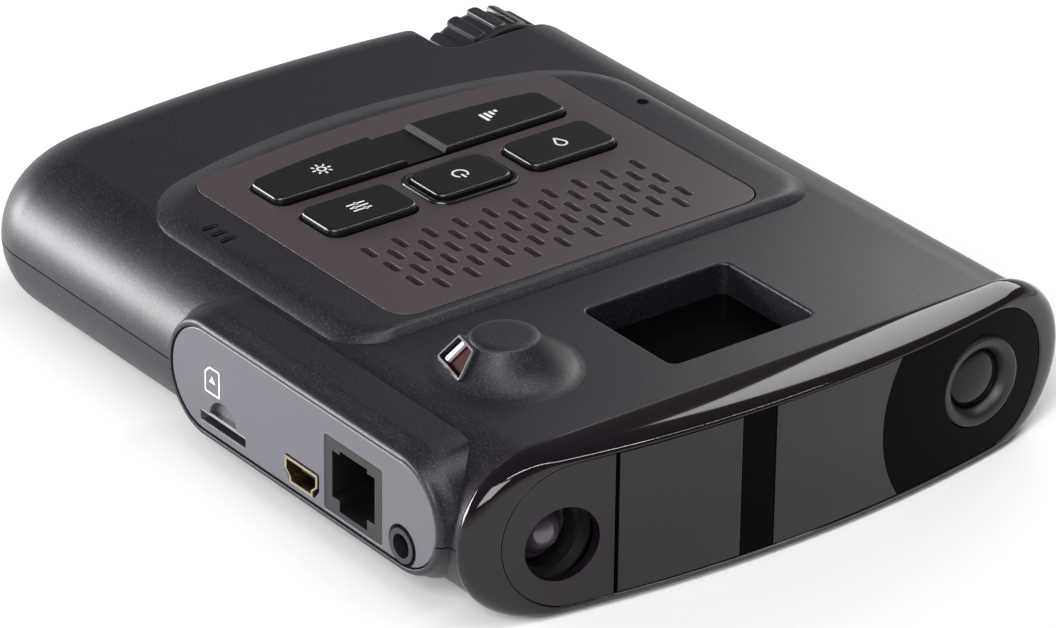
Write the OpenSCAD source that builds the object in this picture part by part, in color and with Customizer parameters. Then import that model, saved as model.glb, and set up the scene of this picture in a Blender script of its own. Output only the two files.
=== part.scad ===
// In-vehicle radar and laser detector with a forward camera.
// The underside centre is the origin: +Z up, -Y the road-facing nose, +Y the driver's side.

/* [Body] */
// Width of the body between its side walls
body_w = 105.2; // [104:0.2:106]
// Height of the front deck above the underside
deck_h = 24; // [24:0.2:24.8]
// Distance from the origin to the rear face
rear_y = 74; // [73:0.5:75]
// Distance from the origin to the front opening of the shells
front_y = 56; // [55.5:0.5:57]
// Thickness of the shell walls
wall = 2; // [1.6:0.1:2.2]
// Radius of the upper long edges
edge_r = 11.8; // [11:0.1:11.9]
// Radius of the lower long edges
keel_r = 12; // [11:0.1:12]
// Radius of the rear corners seen from above
corner_r = 20; // [17:1:22]
// Radius of the rear face's bow seen from above
tail_r = 225; // [200:5:300]

/* [Control island] */
// Height of the island above the deck
island_rise = 1.4; // [1:0.1:1.6]
// Width of the island
island_w = 85; // [82:0.5:87]
// Width of the control panel
panel_w = 65.8; // [64:0.2:67]
// Length of the control panel from front to back
panel_l = 54; // [52:0.5:55]
// Thickness of the control panel
panel_t = 1.4; // [1:0.1:1.6]
// Gap all round each key
key_gap = 0.35; // [0.3:0.05:0.4]
// How far the keys stand above the panel
key_proud = 1.1; // [0.9:0.1:1.3]
// Travel of the three push keys
key_travel = 0.7; // [0.4:0.1:0.7]

/* [Speaker grille] */
// Number of slots in a long row
slot_count = 10; // [8:1:10]
// Number of rows
slot_rows = 6; // [4:1:6]
// Distance between slots in a row
slot_pitch = 5.4; // [5:0.1:5.6]
// Length of one slot
slot_l = 3.6; // [3:0.1:4]
// Width of one slot
slot_w = 1.3; // [1:0.1:1.5]

/* [Nose] */
// Half of the nose's width
nose_half_w = 53.4; // [53:0.2:54.4]
// Height of the nose
nose_h = 25; // [24:0.5:25]
// How far the nose's middle stands in front of the origin
nose_y = 64.5; // [64:0.5:66]
// Radius of the nose's bow seen from above
bow_r = 210; // [180:5:260]
// Height of the front windows
plate_h = 21.8; // [21:0.2:22]
// Thickness of the front windows
plate_t = 1.6; // [1.2:0.1:1.8]

/* [Sockets] */
// Width of the modular power jack's face
jack_w = 13.2; // [13:0.1:13.4]
// Height of the modular power jack's face
jack_h = 11.4; // [11.2:0.1:11.8]
// Width of the USB shell
usb_w = 7.7; // [7.6:0.1:7.8]
// Height of the USB shell
usb_h = 3.9; // [3.8:0.1:4]
// Width of the memory card slot
card_w = 11.8; // [11.4:0.1:12]
// Radius of the audio jack's bore
audio_r = 1.8; // [1.75:0.05:1.85]

/* [Knob] */
// Radius of the volume knob
knob_r = 12; // [11:0.5:12]
// Length of the volume knob
knob_l = 12; // [10:0.5:12.5]
// Number of ribs on the volume knob
knob_ribs = 18; // [12:2:24]
// Radius of the knob's shaft
shaft_r = 3; // [2.8:0.1:3]

/* [Hidden] */
$fn = 64;
e = 0.01;
split_z = deck_h / 2;
island_z = deck_h + island_rise;
island_x = -1;
island_y0 = -19;
island_y1 = 42.5;
panel_y0 = -16.5;
panel_y1 = panel_y0 + panel_l;
key_top = island_z + key_proud;
key_base = island_z - panel_t - 0.1;
bow_y = bow_r - nose_y;
plate_half_w = nose_half_w - 5.4;
rim_y0 = 52;
seam_left_x = -30.9;
seam_mid_x = -5;
seam_gap = 0.3;
laser_x = -39.1;
laser_z = 11.4;
laser_r = 5.6;
laser_lens_r = 4.9;
camera_x = 34.2;
camera_z = 13.6;
camera_r = 6.9;
dock_x = 2.8;
dock_y = -37.3;
dock_w = 25.8;
dock_l = 20.4;
dock_depth = 5;
hill_x = -29.2;
hill_y = -34.8;
hill_r = 11.4;
hill_top_r = 4.9;
hill_h = 5.2;
hill_turn = 14;
boss_x = body_w / 2 + 1.5;
boss_inner_x = 43;
boss_h = 18.2;
boss_y0 = -53.2;
boss_y1 = 12;
boss_z = 13.6;
bay_rim = 1.1;
bay_depth = 0.2;
plate_seat = 1.4;
bay_ledge = 0.7;
fit_gap = 0.02;
face_x = boss_x - bay_depth;
jack_y = -32.9;
jack_z = 12.15;
jack_back = -41;
usb_y = -20.9;
usb_z = 8.7;
card_y = -1.7;
card_z = 7.8;
card_h = 2.4;
card_notch_r = 3.3;
audio_y = -44.3;
audio_z = 8.6;
audio_ring_r = 2.6;
knob_x = 38.6;
knob_z = 12;
notch_x = 26.6;
notch_y = 53.3;
knob_y0 = notch_y + 1;
board_z = 9;
board_t = 1.6;
board_top = board_z + board_t;
ctrl_z = island_z - 6.8;
ctrl_top = ctrl_z + board_t;
mat_z = island_z - 3.5;
mat_t = 0.6;
pivot_z = island_z - 3;
speaker_y = -4;
speaker_z = island_z - 9.4;
pivot_y = 26.9;
pin_r = 0.8;
pin_clear = 0.05;
bar_y0 = 21.9;
bar_y1 = 30.1;
bar_half_w = 26.4;
side_key_x = 18.2;
side_key_w = 15.7;
power_key_w = 13.4;
key_y = 13.6;
key_l = 9.2;
mic_x = 37.1;
mic_y = 18.9;
vent_x = -39.2;
vent_y = 20.1;
screw_spots = [[-27, -24], [38, -42], [-38, 42], [20, 52]];
post_spots = [[-29, -12], [34, -26], [-27, 50], [20, 38]];
post_r = 3;
screw_r = 1.2;
display_x0 = -18;
display_x1 = 14;
display_z0 = 6.5;
display_z1 = 17.5;

// A rectangle with round corners, given by its opposite corners.
module round_rect(x0, y0, x1, y1, r) {
    translate([x0 + r, y0]) square([x1 - x0 - 2 * r, y1 - y0]);
    translate([x0, y0 + r]) square([x1 - x0, y1 - y0 - 2 * r]);
    for (x = [x0 + r, x1 - r], y = [y0 + r, y1 - r]) translate([x, y]) circle(r);
}

// A round-cornered block standing on z0.
module round_block(x0, y0, x1, y1, r, z0, h) {
    translate([0, 0, z0]) linear_extrude(h) round_rect(x0, y0, x1, y1, r);
}

// A box given by its opposite corners.
module box(x0, y0, z0, x1, y1, z1) {
    translate([x0, y0, z0]) cube([x1 - x0, y1 - y0, z1 - z0]);
}

// Turns a flat outline in X and Z into a slab that runs along +Y from y0.
module along_y(y0, l) {
    translate([0, y0 + l, 0]) rotate([90, 0, 0]) linear_extrude(l) children();
}

// Turns a flat outline in Y and Z into a slab that runs along +X from x0.
module along_x(x0, l) {
    translate([x0, 0, 0]) rotate([90, 0, 90]) linear_extrude(l) children();
}

// The body seen from above: straight sides, round rear corners, a bowed rear and the knob's notch.
module plan(inset) {
    half = body_w / 2 - inset;
    back = rear_y - inset;
    r = corner_r - inset;
    difference() {
        intersection() {
            union() {
                translate([-half, -front_y]) square([2 * half, front_y + back - r]);
                translate([-half + r, back - r - e]) square([2 * (half - r), r + e]);
                for (x = [-half + r, half - r]) translate([x, back - r]) circle(r);
            }
            translate([0, rear_y - tail_r]) circle(tail_r - inset, $fn = 256);
        }
        translate([notch_x - inset, notch_y - inset]) square([body_w, body_w]);
    }
}

// The body seen from the front: upper edges of edge_r and lower edges of keel_r.
module end_profile(inset) {
    half = body_w / 2 - inset;
    top = island_z - inset;
    low = inset;
    r_up = edge_r - inset;
    r_low = keel_r - inset;
    deck = deck_h - inset;
    translate([-half, r_low]) square([2 * half, deck - r_low - r_up]);
    translate([-half + r_low, low]) square([2 * (half - r_low), deck - low]);
    translate([island_x - island_w / 2 + inset, low + r_low])
        square([island_w - 2 * inset, top - low - r_low]);
    for (x = [-half + r_low, half - r_low]) translate([x, low + r_low]) circle(r_low);
    for (x = [-half + r_up, half - r_up]) translate([x, deck - r_up]) circle(r_up);
    translate([-half + r_up, deck - 2 * r_up]) square([2 * (half - r_up), 2 * r_up]);
}

// The body seen from the side: the rear edges are round, the front is open.
module side_profile(inset) {
    back = rear_y - inset;
    top = deck_h - inset;
    r_up = edge_r - inset;
    r_low = keel_r - inset;
    translate([-front_y - e, inset]) square([front_y + back - r_low, top - inset]);
    translate([back - r_low - 1, inset + r_low]) square([r_low + 1, top - inset - r_low - r_up]);
    translate([back - r_low, inset + r_low]) circle(r_low);
    translate([back - r_up, top - r_up]) circle(r_up);
    translate([island_y0 + inset, top - e]) square([island_y1 - island_y0 - 2 * inset, island_rise + e]);
}

// The solid outer form of the body, or the same form inset for its cavity.
module body_form(inset) {
    intersection() {
        translate([0, 0, -1]) linear_extrude(island_z + 2) plan(inset);
        along_y(-front_y - 1, front_y + rear_y + 2) end_profile(inset);
        along_x(-body_w, 2 * body_w) side_profile(inset);
    }
}

// A stadium in X and Z centred on the nose, given by its half width and its height.
module stadium(half_w, h) {
    translate([0, nose_h / 2]) {
        square([2 * half_w - h, h], center = true);
        for (x = [-1, 1]) translate([x * (half_w - h / 2), 0]) circle(h / 2);
    }
}

// Everything behind the bowed front surface, set back by an amount.
module behind_bow(back) {
    translate([0, bow_y, -1]) cylinder(r = bow_r - back, h = nose_h + 2, $fn = 256);
}

// The stadium face of the port bay, seen along X.
module bay_outline(inset) {
    h = boss_h - 2 * inset;
    y0 = boss_y0 + inset;
    y1 = boss_y1 - inset;
    translate([y0 + h / 2, boss_z - h / 2]) square([y1 - y0 - h, h]);
    for (y = [y0 + h / 2, y1 - h / 2]) translate([y, boss_z]) circle(h / 2);
}

// The staggered sound slots, as flat outlines.
module sound_slots() {
    for (row = [0:slot_rows - 1])
        for (i = [0:slot_count - 1 - row % 2])
            translate([(i - (slot_count - 1 - row % 2) / 2) * slot_pitch, 2.6 - row * slot_pitch / 2])
                square([slot_w, slot_l], center = true);
}

// Moves a shape centred on X = 0 onto the island's middle line.
module on_island() {
    translate([island_x, 0, 0]) children();
}

// A round post that runs from z0 to z1.
module post(spot, r, z0, z1) {
    translate([spot[0], spot[1], z0]) cylinder(r = r, h = z1 - z0);
}

// Openings of the two shells for the nose, the knob's bush, the port plate and the display.
module shell_cuts() {
    translate([knob_x, notch_y - 4, knob_z]) rotate([-90, 0, 0]) cylinder(r = 4.8, h = 5);
    along_x(-boss_x - 1, bay_depth + 1 + plate_seat + fit_gap) bay_outline(bay_rim);
    along_x(-boss_x - 1, boss_x + 1 - boss_inner_x) bay_outline(bay_rim + bay_ledge);
    translate([-face_x, audio_y, audio_z]) rotate([0, 90, 0]) cylinder(r = audio_ring_r + 0.35, h = 11);
    box(display_x0, rear_y - wall - 3, display_z0, display_x1, rear_y + 1, display_z1);
}

module upper_shell() color("#3b393f") {
    difference() {
        union() {
            body_form(0);
            along_x(-boss_x, boss_x - boss_inner_x) bay_outline(0);
            translate([hill_x, hill_y, deck_h - e])
                cylinder(r1 = hill_r, r2 = hill_top_r, h = hill_h + e);
        }
        translate([-body_w, -body_w, -body_w + split_z]) cube([2 * body_w, 2 * body_w, body_w]);
        difference() {
            union() {
                body_form(wall);
                translate([0, -wall - 1, 0]) intersection() {
                    body_form(wall);
                    box(-body_w, -front_y - 2, -1, body_w, -front_y + 20, deck_h + 9);
                }
            }
            round_block(
                dock_x - dock_w / 2 - 1.4, dock_y - dock_l / 2 - 1.4, dock_x + dock_w / 2 + 1.4,
                dock_y + dock_l / 2 + 1.4, 2.4, deck_h - dock_depth - 1.4, 9
            );
            for (spot = screw_spots) post(spot, post_r, split_z - 1, deck_h);
        }
        round_block(
            dock_x - dock_w / 2, dock_y - dock_l / 2, dock_x + dock_w / 2, dock_y + dock_l / 2,
            1.4, deck_h - dock_depth - 3, 9
        );
        on_island() round_block(
            -panel_w / 2 - 0.2, panel_y0 - 0.2, panel_w / 2 + 0.2, panel_y1 + 0.2, 4.2,
            island_z - panel_t - fit_gap, 3
        );
        on_island() round_block(
            -panel_w / 2 + 1.2, panel_y0 + 1.2, panel_w / 2 - 1.2, panel_y1 - 1.2, 3,
            island_z - panel_t - 3, 5
        );
        translate([hill_x, hill_y, deck_h - wall - e])
            cylinder(r1 = hill_r - 2, r2 = hill_top_r - 1.5, h = hill_h + wall - 1.4);
        translate([hill_x, hill_y, deck_h + 2.7]) rotate([0, 0, 180 - hill_turn]) {
            translate([3, -3.6, -1.7]) cube([9, 7.2, 3.6]);
        }
        for (spot = screw_spots) post(spot, screw_r - 0.2, split_z - 2, deck_h - wall);
        translate([mic_x, mic_y, deck_h - 3]) cylinder(r = 0.75, h = 5, $fn = 24);
        for (i = [-1:1]) translate([vent_x, vent_y + i * 2.3, island_z - 0.5]) cube([2.6, 0.8, 2], center = true);
        shell_cuts();
    }
}

module lower_shell() color("#343238") {
    difference() {
        union() {
            intersection() {
                union() {
                    body_form(0);
                    along_x(-boss_x, boss_x - boss_inner_x) bay_outline(0);
                }
                translate([-body_w, -body_w, 0]) cube([2 * body_w, 2 * body_w, split_z]);
            }
        }
        difference() {
            union() {
                body_form(wall);
                translate([0, -wall - 1, 0]) intersection() {
                    body_form(wall);
                    box(-body_w, -front_y - 2, -1, body_w, -front_y + 20, deck_h + 9);
                }
            }
            for (spot = screw_spots) post(spot, post_r, 0, split_z - 1);
            for (spot = post_spots) post(spot, post_r - 0.4, 0, board_z);
        }
        for (spot = screw_spots) {
            post(spot, screw_r + 0.15, -1, split_z);
            post(spot, 2.6, -1, 2.2);
        }
        for (spot = post_spots) post(spot, screw_r - 0.2, wall + 1, board_z + 1);
        shell_cuts();
    }
}

module front_bezel() color("#141316") {
    difference() {
        intersection() {
            union() {
                along_y(-rim_y0 - 6, 4) stadium(nose_half_w - 1.2, nose_h - 0.4);
                along_y(-nose_y - 1, nose_y - 55.2) stadium(nose_half_w, nose_h);
                along_y(-nose_y - 2, nose_y - 60) stadium(nose_half_w - 3, nose_h - 1.4);
            }
            behind_bow(0.4);
            box(-body_w, -nose_y - 2, -1, body_w, -front_y - 0.02, deck_h + 2);
        }
        along_y(-nose_y - 4, 20) stadium(plate_half_w - 1, plate_h - 2);
        difference() {
            along_y(-nose_y - 4, 20) stadium(plate_half_w + 0.1, plate_h + 0.2);
            behind_bow(plate_t + 0.02);
        }
    }
}

// A front window between two seams, following the bow.
module window_plate(x0, x1) {
    intersection() {
        along_y(-nose_y - 1, 14) stadium(plate_half_w, plate_h);
        difference() {
            behind_bow(0);
            behind_bow(plate_t);
        }
        box(x0, -nose_y - 2, -1, x1, 0, nose_h + 1);
    }
}

module laser_plate() color("#2b2a30") {
    difference() {
        window_plate(-nose_half_w, seam_left_x - seam_gap);
        translate([laser_x, -nose_y - 2, laser_z]) rotate([-90, 0, 0]) cylinder(r = laser_r, h = 14);
    }
}

module radar_window() color("#3a3a3f") {
    window_plate(seam_left_x + seam_gap, seam_mid_x - seam_gap / 2);
}

module camera_plate() color("#26252a") {
    difference() {
        window_plate(seam_mid_x + seam_gap / 2, nose_half_w);
        translate([camera_x, -nose_y - 2, camera_z]) rotate([-90, 0, 0]) cylinder(r = camera_r + 0.1, h = 14);
    }
}

module laser_lens() color("#6d5a70") {
    translate([laser_x, -53.6, laser_z]) rotate([90, 0, 0]) {
        cylinder(r = laser_lens_r, h = 1.4);
        translate([0, 0, 1.4 - e]) intersection() {
            translate([0, 0, -6]) sphere(r = 8, $fn = 96);
            cylinder(r = laser_lens_r - 0.6, h = 4);
        }
    }
}

module laser_holder() color("#1d1c20") {
    difference() {
        translate([laser_x, -50, laser_z]) rotate([90, 0, 0]) cylinder(r = laser_lens_r + 0.8, h = 7.2);
        translate([laser_x, -49, laser_z]) rotate([90, 0, 0]) cylinder(r = laser_lens_r - 0.8, h = 20);
        translate([laser_x, -53.6, laser_z]) rotate([90, 0, 0])
            cylinder(r = laser_lens_r + fit_gap, h = 20);
    }
}

module laser_sensor() color("#3f6a4a") {
    box(laser_x - 6, -49.98, laser_z - 7, laser_x + 7, -48.8, laser_z + 6);
    translate([laser_x, -49.98 + e, laser_z]) rotate([90, 0, 0]) cylinder(r = 2.4, h = 2.4);
}

module camera_ring() color("#4a484d") {
    difference() {
        translate([camera_x, -55.5, camera_z]) rotate([90, 0, 0]) cylinder(r = camera_r, h = 6.6);
        translate([camera_x, -50, camera_z]) rotate([90, 0, 0]) cylinder(r = 5.3, h = 20);
    }
}

module camera_lens() color("#20303a") {
    translate([camera_x, -57.2, camera_z]) rotate([90, 0, 0]) {
        cylinder(r = 5.28, h = 2);
        translate([0, 0, 2 - e]) intersection() {
            translate([0, 0, -7]) sphere(r = 8.6, $fn = 96);
            cylinder(r = 5, h = 3);
        }
    }
}

module camera_barrel() color("#19181b") {
    translate([camera_x, -49, camera_z]) rotate([90, 0, 0]) difference() {
        cylinder(r = 7.4, h = 6.4);
        translate([0, 0, -1]) cylinder(r = 4.4, h = 9);
    }
}

module camera_board() color("#2f5f45") {
    box(camera_x - 9.5, -48.9, camera_z - 8.5, camera_x + 9, -47.3, camera_z + 7.2);
    translate([camera_x, -48.9 + e, camera_z]) rotate([90, 0, 0]) cylinder(r = 4, h = 1.6);
}

// Outline of the key bar: straight front, bowed back.
module bar_outline(grow) {
    r = 1.6 + grow;
    intersection() {
        round_rect(-bar_half_w - grow, bar_y0 - grow, bar_half_w + grow, bar_y1 + 2.4, r);
        translate([0, bar_y1 + 1.9 + grow - 180]) circle(180, $fn = 256);
    }
}

// Outline of one push key.
module key_outline(x, w, grow) {
    round_rect(x - w / 2 - grow, key_y - key_l / 2 - grow, x + w / 2 + grow, key_y + key_l / 2 + grow, 1.8 + grow);
}

module control_panel() color("#5b5257") on_island() {
    difference() {
        union() {
            round_block(
                -panel_w / 2, panel_y0, panel_w / 2, panel_y1, 4,
                island_z - panel_t, panel_t
            );
            for (y = [bar_y0 - 2.4, bar_y1 + 2.5]) box(-2.5, y, pivot_z - 1.6, 2.5, y + 1.7, island_z - panel_t + e);
        }
        translate([0, 0, island_z - 3]) linear_extrude(5) {
            bar_outline(key_gap);
            key_outline(0, power_key_w, key_gap);
            for (s = [-1, 1]) key_outline(s * side_key_x, side_key_w, key_gap);
        }
        translate([0, 0, island_z - 3]) linear_extrude(5) sound_slots();
        translate([0, 42, pivot_z]) rotate([90, 0, 0]) cylinder(r = pin_r, h = 40);
    }
}

module rocker_pin() color("#b9bcc2") on_island() {
    y0 = bar_y0 - 2.3;
    y1 = bar_y1 + 4.1;
    translate([0, y1, pivot_z]) rotate([90, 0, 0]) cylinder(r = pin_r - 0.01, h = y1 - y0);
}

module rocker_key() color("#17161a") on_island() {
    difference() {
        union() {
            translate([0, 0, key_base]) linear_extrude(key_top - key_base) bar_outline(0);
            box(-2.2, pivot_y - 2.6, pivot_z - 1.8, 2.2, pivot_y + 2.6, key_base + e);
        }
        translate([0, 42, pivot_z]) rotate([90, 0, 0]) cylinder(r = pin_r + pin_clear, h = 40);
        box(-3.2, bar_y0 - 5, key_top - 1, 3.2, bar_y1 + 8, key_top + 2);
    }
}

// A push key: its cap and the short stem that meets the mat.
module push_key(x, w) {
    translate([0, 0, key_base]) linear_extrude(key_top - key_base) key_outline(x, w, 0);
}

module power_key() color("#17161a") on_island() push_key(0, power_key_w);

module program_key() color("#17161a") on_island() push_key(-side_key_x, side_key_w);

module mark_key() color("#17161a") on_island() push_key(side_key_x, side_key_w);

// Where the keys press on the mat and its switches.
dome_spots = [[-side_key_x, key_y], [0, key_y], [side_key_x, key_y], [-20, pivot_y], [20, pivot_y]];

module keypad_mat() color("#4b4b52") on_island() {
    round_block(-28.5, 7, 28.5, 19.1, 2, mat_z, mat_t);
    for (s = [-1, 1]) round_block(s * 20 - 8, 18.5, s * 20 + 8, 31.5, 2, mat_z, mat_t);
    for (spot = dome_spots) post(spot, 2.6, mat_z + mat_t - e, mat_z + mat_t + 0.3);
}

module tact_switches() color("#c9c5b8") on_island() {
    for (spot = dome_spots) {
        translate([spot[0], spot[1], ctrl_top + 0.45]) cube([4.4, 4.4, 0.9], center = true);
        post(spot, 1.4, ctrl_top + 0.9 - e, mat_z - 0.05);
    }
}

module control_board() color("#2f5f45") on_island() {
    round_block(-30, 6.5, 30, 34.5, 1.5, ctrl_z, board_t);
}

module speaker_frame() color("#26252a") on_island() {
    difference() {
        round_block(-27, -13.1, 27, 5.1, 6, speaker_z, 6.2);
        round_block(-25.4, -11.5, 25.4, 3.5, 5, speaker_z + 1.2, 9);
        translate([0, speaker_y, speaker_z - 7]) cylinder(r = 6.6, h = 10);
    }
}

module speaker_cone() color("#3a3a40") on_island() {
    round_block(-25.2, -11.3, 25.2, 3.3, 4.8, speaker_z + 4.2, 0.6);
    translate([0, speaker_y, speaker_z + 1.4]) cylinder(r = 6, h = 2.8 + e);
}

module speaker_magnet() color("#8b8e94") on_island() {
    translate([0, speaker_y, speaker_z - 4.6]) cylinder(r = 9, h = 4.6 - fit_gap);
    translate([0, speaker_y, speaker_z - 0.1]) cylinder(r = 5.6, h = 1.2);
}

module speaker_cloth() color("#101012") on_island() {
    round_block(-27.6, -13.7, 27.6, 5.7, 4, island_z - panel_t - 0.4, 0.3);
}

module dome_window() color("#6b3540") {
    translate([hill_x, hill_y, deck_h + 2.7]) rotate([0, 0, 180 - hill_turn])
        translate([6.1, -3.5, -1.6]) cube([0.8, 7, 3.4]);
}

module dome_sensor() color("#3f6a4a") {
    translate([hill_x, hill_y, 0]) {
        translate([-5, -5, 20]) cube([10, 10, 1.2]);
        translate([-1.6, -1.6, 21.2 - e]) cube([3.2, 3.2, 6]);
    }
}

module dock_plate() color("#0d0d10") {
    round_block(
        dock_x - dock_w / 2 + 0.05, dock_y - dock_l / 2 + 0.05, dock_x + dock_w / 2 - 0.05,
        dock_y + dock_l / 2 - 0.05, 1.35, deck_h - dock_depth - 1.4, 1.4
    );
}

module microphone() color("#a8a9ad") {
    translate([mic_x, mic_y, deck_h - 5.2]) cylinder(r = 2.2, h = 5.1 - wall);
}

// Cut-outs of the sockets through the port plate.
module socket_cuts() {
    translate([jack_y - jack_w / 2 - 0.1, jack_z - jack_h / 2 - 0.1]) square([jack_w + 0.2, jack_h + 0.2]);
    usb_outline(0.1);
    translate([card_y - card_w / 2 - 0.1, card_z - card_h / 2 - 0.1]) square([card_w + 0.2, card_h + 0.2]);
    translate([audio_y, audio_z]) circle(audio_ring_r + 0.05);
}

// The USB shell's outline: wide side up, narrower below.
module usb_outline(grow) {
    w = usb_w / 2 + grow;
    top = usb_z + usb_h / 2 + grow;
    low = usb_z - usb_h / 2 - grow;
    polygon([
        [usb_y - w, top], [usb_y + w, top], [usb_y + w, usb_z], [usb_y + w - 1.1, usb_z - 1],
        [usb_y + w - 1.1, low], [usb_y - w + 1.1, low], [usb_y - w + 1.1, usb_z - 1], [usb_y - w, usb_z]
    ]);
}

module port_plate() color("#47464b") {
    difference() {
        along_x(-face_x, plate_seat) bay_outline(bay_rim + 0.15);
        along_x(-face_x - 1, 4) socket_cuts();
        intersection() {
            translate([-face_x - 1.6, card_y, card_z + 0.8]) rotate([0, 90, 0]) cylinder(r = card_notch_r, h = 2.7);
            box(-face_x - 2, card_y - 5, card_z, -face_x + 2, card_y + 5, card_z + 6);
        }
    }
}

module power_jack() color("#17161a") {
    floor_z = jack_z - jack_h / 2;
    difference() {
        box(-face_x + 0.1, jack_y - jack_w / 2, floor_z, -39, jack_y + jack_w / 2, floor_z + jack_h);
        box(-face_x - 1, jack_y - 4.95, floor_z + 2.4, jack_back, jack_y + 4.95, floor_z + 9.6);
        box(-face_x - 1, jack_y - 3.2, floor_z + 0.7, jack_back, jack_y + 3.2, floor_z + 10.2);
    }
}

module jack_contacts() color("#d8b15a") {
    floor_z = jack_z - jack_h / 2;
    for (i = [-2.5:2.5])
        box(jack_back - 7, jack_y + i * 1.02 - 0.15, floor_z + 9.3, jack_back - 0.05, jack_y + i * 1.02 + 0.15, floor_z + 9.9);
}

module usb_socket() color("#c9b48c") {
    difference() {
        along_x(-face_x - 0.2, 9.4) usb_outline(0);
        along_x(-face_x - 1, 8.8) usb_outline(-0.4);
    }
}

module usb_tongue() color("#1c1b1f") {
    box(-face_x + 1.4, usb_y - 1.9, usb_z - 0.3, -face_x + 7.75, usb_y + 1.9, usb_z + 0.5);
}

module card_socket() color("#b5b8bd") {
    z0 = card_z - card_h / 2;
    difference() {
        box(-face_x + 0.1, card_y - card_w / 2, z0, -38, card_y + card_w / 2, z0 + card_h);
        box(-face_x - 1, card_y - card_w / 2 + 0.35, z0 + 0.5, -39, card_y + card_w / 2 - 0.35, z0 + card_h - 0.5);
    }
}

module audio_socket() color("#17161a") {
    difference() {
        translate([-face_x + 1.5, audio_y, audio_z]) rotate([0, 90, 0]) cylinder(r = audio_ring_r, h = 9);
        translate([-face_x, audio_y, audio_z]) rotate([0, 90, 0]) cylinder(r = audio_r, h = 9.5);
    }
}

module audio_ring() color("#9a9ca1") {
    difference() {
        translate([-face_x - 0.2, audio_y, audio_z]) rotate([0, 90, 0]) cylinder(r = audio_ring_r, h = 1.68);
        translate([-face_x - 1, audio_y, audio_z]) rotate([0, 90, 0]) cylinder(r = audio_r, h = 4);
    }
}

module port_board() color("#2f5f45") {
    box(-47, -48, 4.5, -35, 7, 5.7);
}

module display_window() color("#0b0b0d") {
    box(display_x0 + 0.1, rear_y - wall - 1.4, display_z0 + 0.1, display_x1 - 0.1, rear_y - wall, display_z1 - 0.1);
}

module display_module() color("#1d3a2c") {
    box(display_x0 + 2, rear_y - 9, display_z0 + 0.5, display_x1 - 2, rear_y - 4.5, display_z1 - 0.5);
}

module main_board() color("#2f5f45") {
    difference() {
        box(-33, -30, board_z + fit_gap, 41, 57, board_top);
        box(23.6, 42, board_z - 1, 50, 60, board_top + 1);
        for (spot = screw_spots) post(spot, post_r + 0.5, board_z - 1, board_top + 1);
        for (spot = post_spots) post(spot, screw_r, board_z - 1, board_top + 1);
    }
}

module radar_horn() color("#b8bbc0") {
    difference() {
        union() {
            box(-30, -58.4, 3.4, -6, -40, 16.8);
            box(-26, -40 - e, 4.4, -10, -32, 15.6);
        }
        box(-28.6, -60, 4.8, -7.4, -42, 15.4);
        box(-24, -43, 6.4, -12, -34, 13.6);
    }
}

module rf_shield() color("#a9adb3") {
    difference() {
        box(-24, 20, board_top + fit_gap, 14, 48, board_top + 4);
        box(-23.4, 20.6, board_top - 1, 13.4, 47.4, board_top + 3.4);
    }
}

module gps_antenna() color("#d9cfb4") {
    box(17, -26, board_top + fit_gap, 30, -13, board_top + 4);
}

module backup_cell() color("#2d3f66") {
    post([35, 30], 5, board_top + fit_gap, board_top + 7);
}

module encoder_body() color("#7d8086") {
    difference() {
        union() {
            box(knob_x - 6, notch_y - 9.4, knob_z - 6, knob_x + 6, notch_y - 2.4, knob_z + 6);
            translate([knob_x, notch_y - 2.5, knob_z]) rotate([-90, 0, 0]) cylinder(r = 4.6, h = 2.9);
        }
        translate([knob_x, notch_y - 12, knob_z]) rotate([-90, 0, 0]) cylinder(r = shaft_r + pin_clear, h = 20);
    }
}

module knob_shaft() color("#b9bcc2") {
    translate([knob_x, notch_y - 9, knob_z]) rotate([-90, 0, 0])
        cylinder(r = shaft_r, h = knob_y0 - notch_y + 9 + knob_l - 4);
}

module volume_knob() color("#232226") {
    translate([knob_x, knob_y0, knob_z]) rotate([-90, 0, 0]) difference() {
        union() {
            cylinder(r = knob_r - 0.7, h = knob_l - 2);
            translate([0, 0, knob_l - 2 - e]) cylinder(r1 = knob_r - 0.7, r2 = knob_r - 3, h = 2);
            for (i = [0:knob_ribs - 1]) rotate([0, 0, i * 360 / knob_ribs])
                translate([knob_r - 2, -1, 0.8]) cube([1.95, 2, knob_l - 4]);
        }
        translate([0, 0, -1]) cylinder(r = shaft_r + 0.01, h = knob_l - 3 + e);
    }
}

// One screw with its head down, from the underside.
module shell_screw(spot) {
    post(spot, 2.4, 0.4, 2.2);
    post(spot, screw_r - 0.22, 2.2 - e, split_z + 6);
}

module shell_screws() color("#8e9095") for (spot = screw_spots) shell_screw(spot);

module board_screws() color("#c4c6ca") for (spot = post_spots) {
    post(spot, 2, board_top + fit_gap, board_top + 1.4);
    post(spot, screw_r - 0.22, board_z - 4, board_top + 0.1);
}

upper_shell();
lower_shell();
front_bezel();
laser_plate();
radar_window();
camera_plate();
laser_lens();
laser_holder();
laser_sensor();
camera_ring();
camera_lens();
camera_barrel();
camera_board();
control_panel();
keypad_mat();
tact_switches();
control_board();
rocker_pin();
speaker_frame();
speaker_cone();
speaker_magnet();
speaker_cloth();
dome_window();
dome_sensor();
dock_plate();
microphone();
port_plate();
card_socket();
usb_socket();
usb_tongue();
power_jack();
jack_contacts();
audio_socket();
audio_ring();
port_board();
display_window();
display_module();
main_board();
radar_horn();
rf_shield();
gps_antenna();
backup_cell();
encoder_body();
shell_screws();
board_screws();
rocker_key();
power_key();
program_key();
mark_key();
volume_knob();
knob_shaft();
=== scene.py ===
"""Looks of an in-vehicle radar and laser detector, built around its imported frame.

Lengths are in millimetres until a mesh is made. X runs across the car, -Y is the road-facing
nose and +Z is up, as in the frame.
"""

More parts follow.
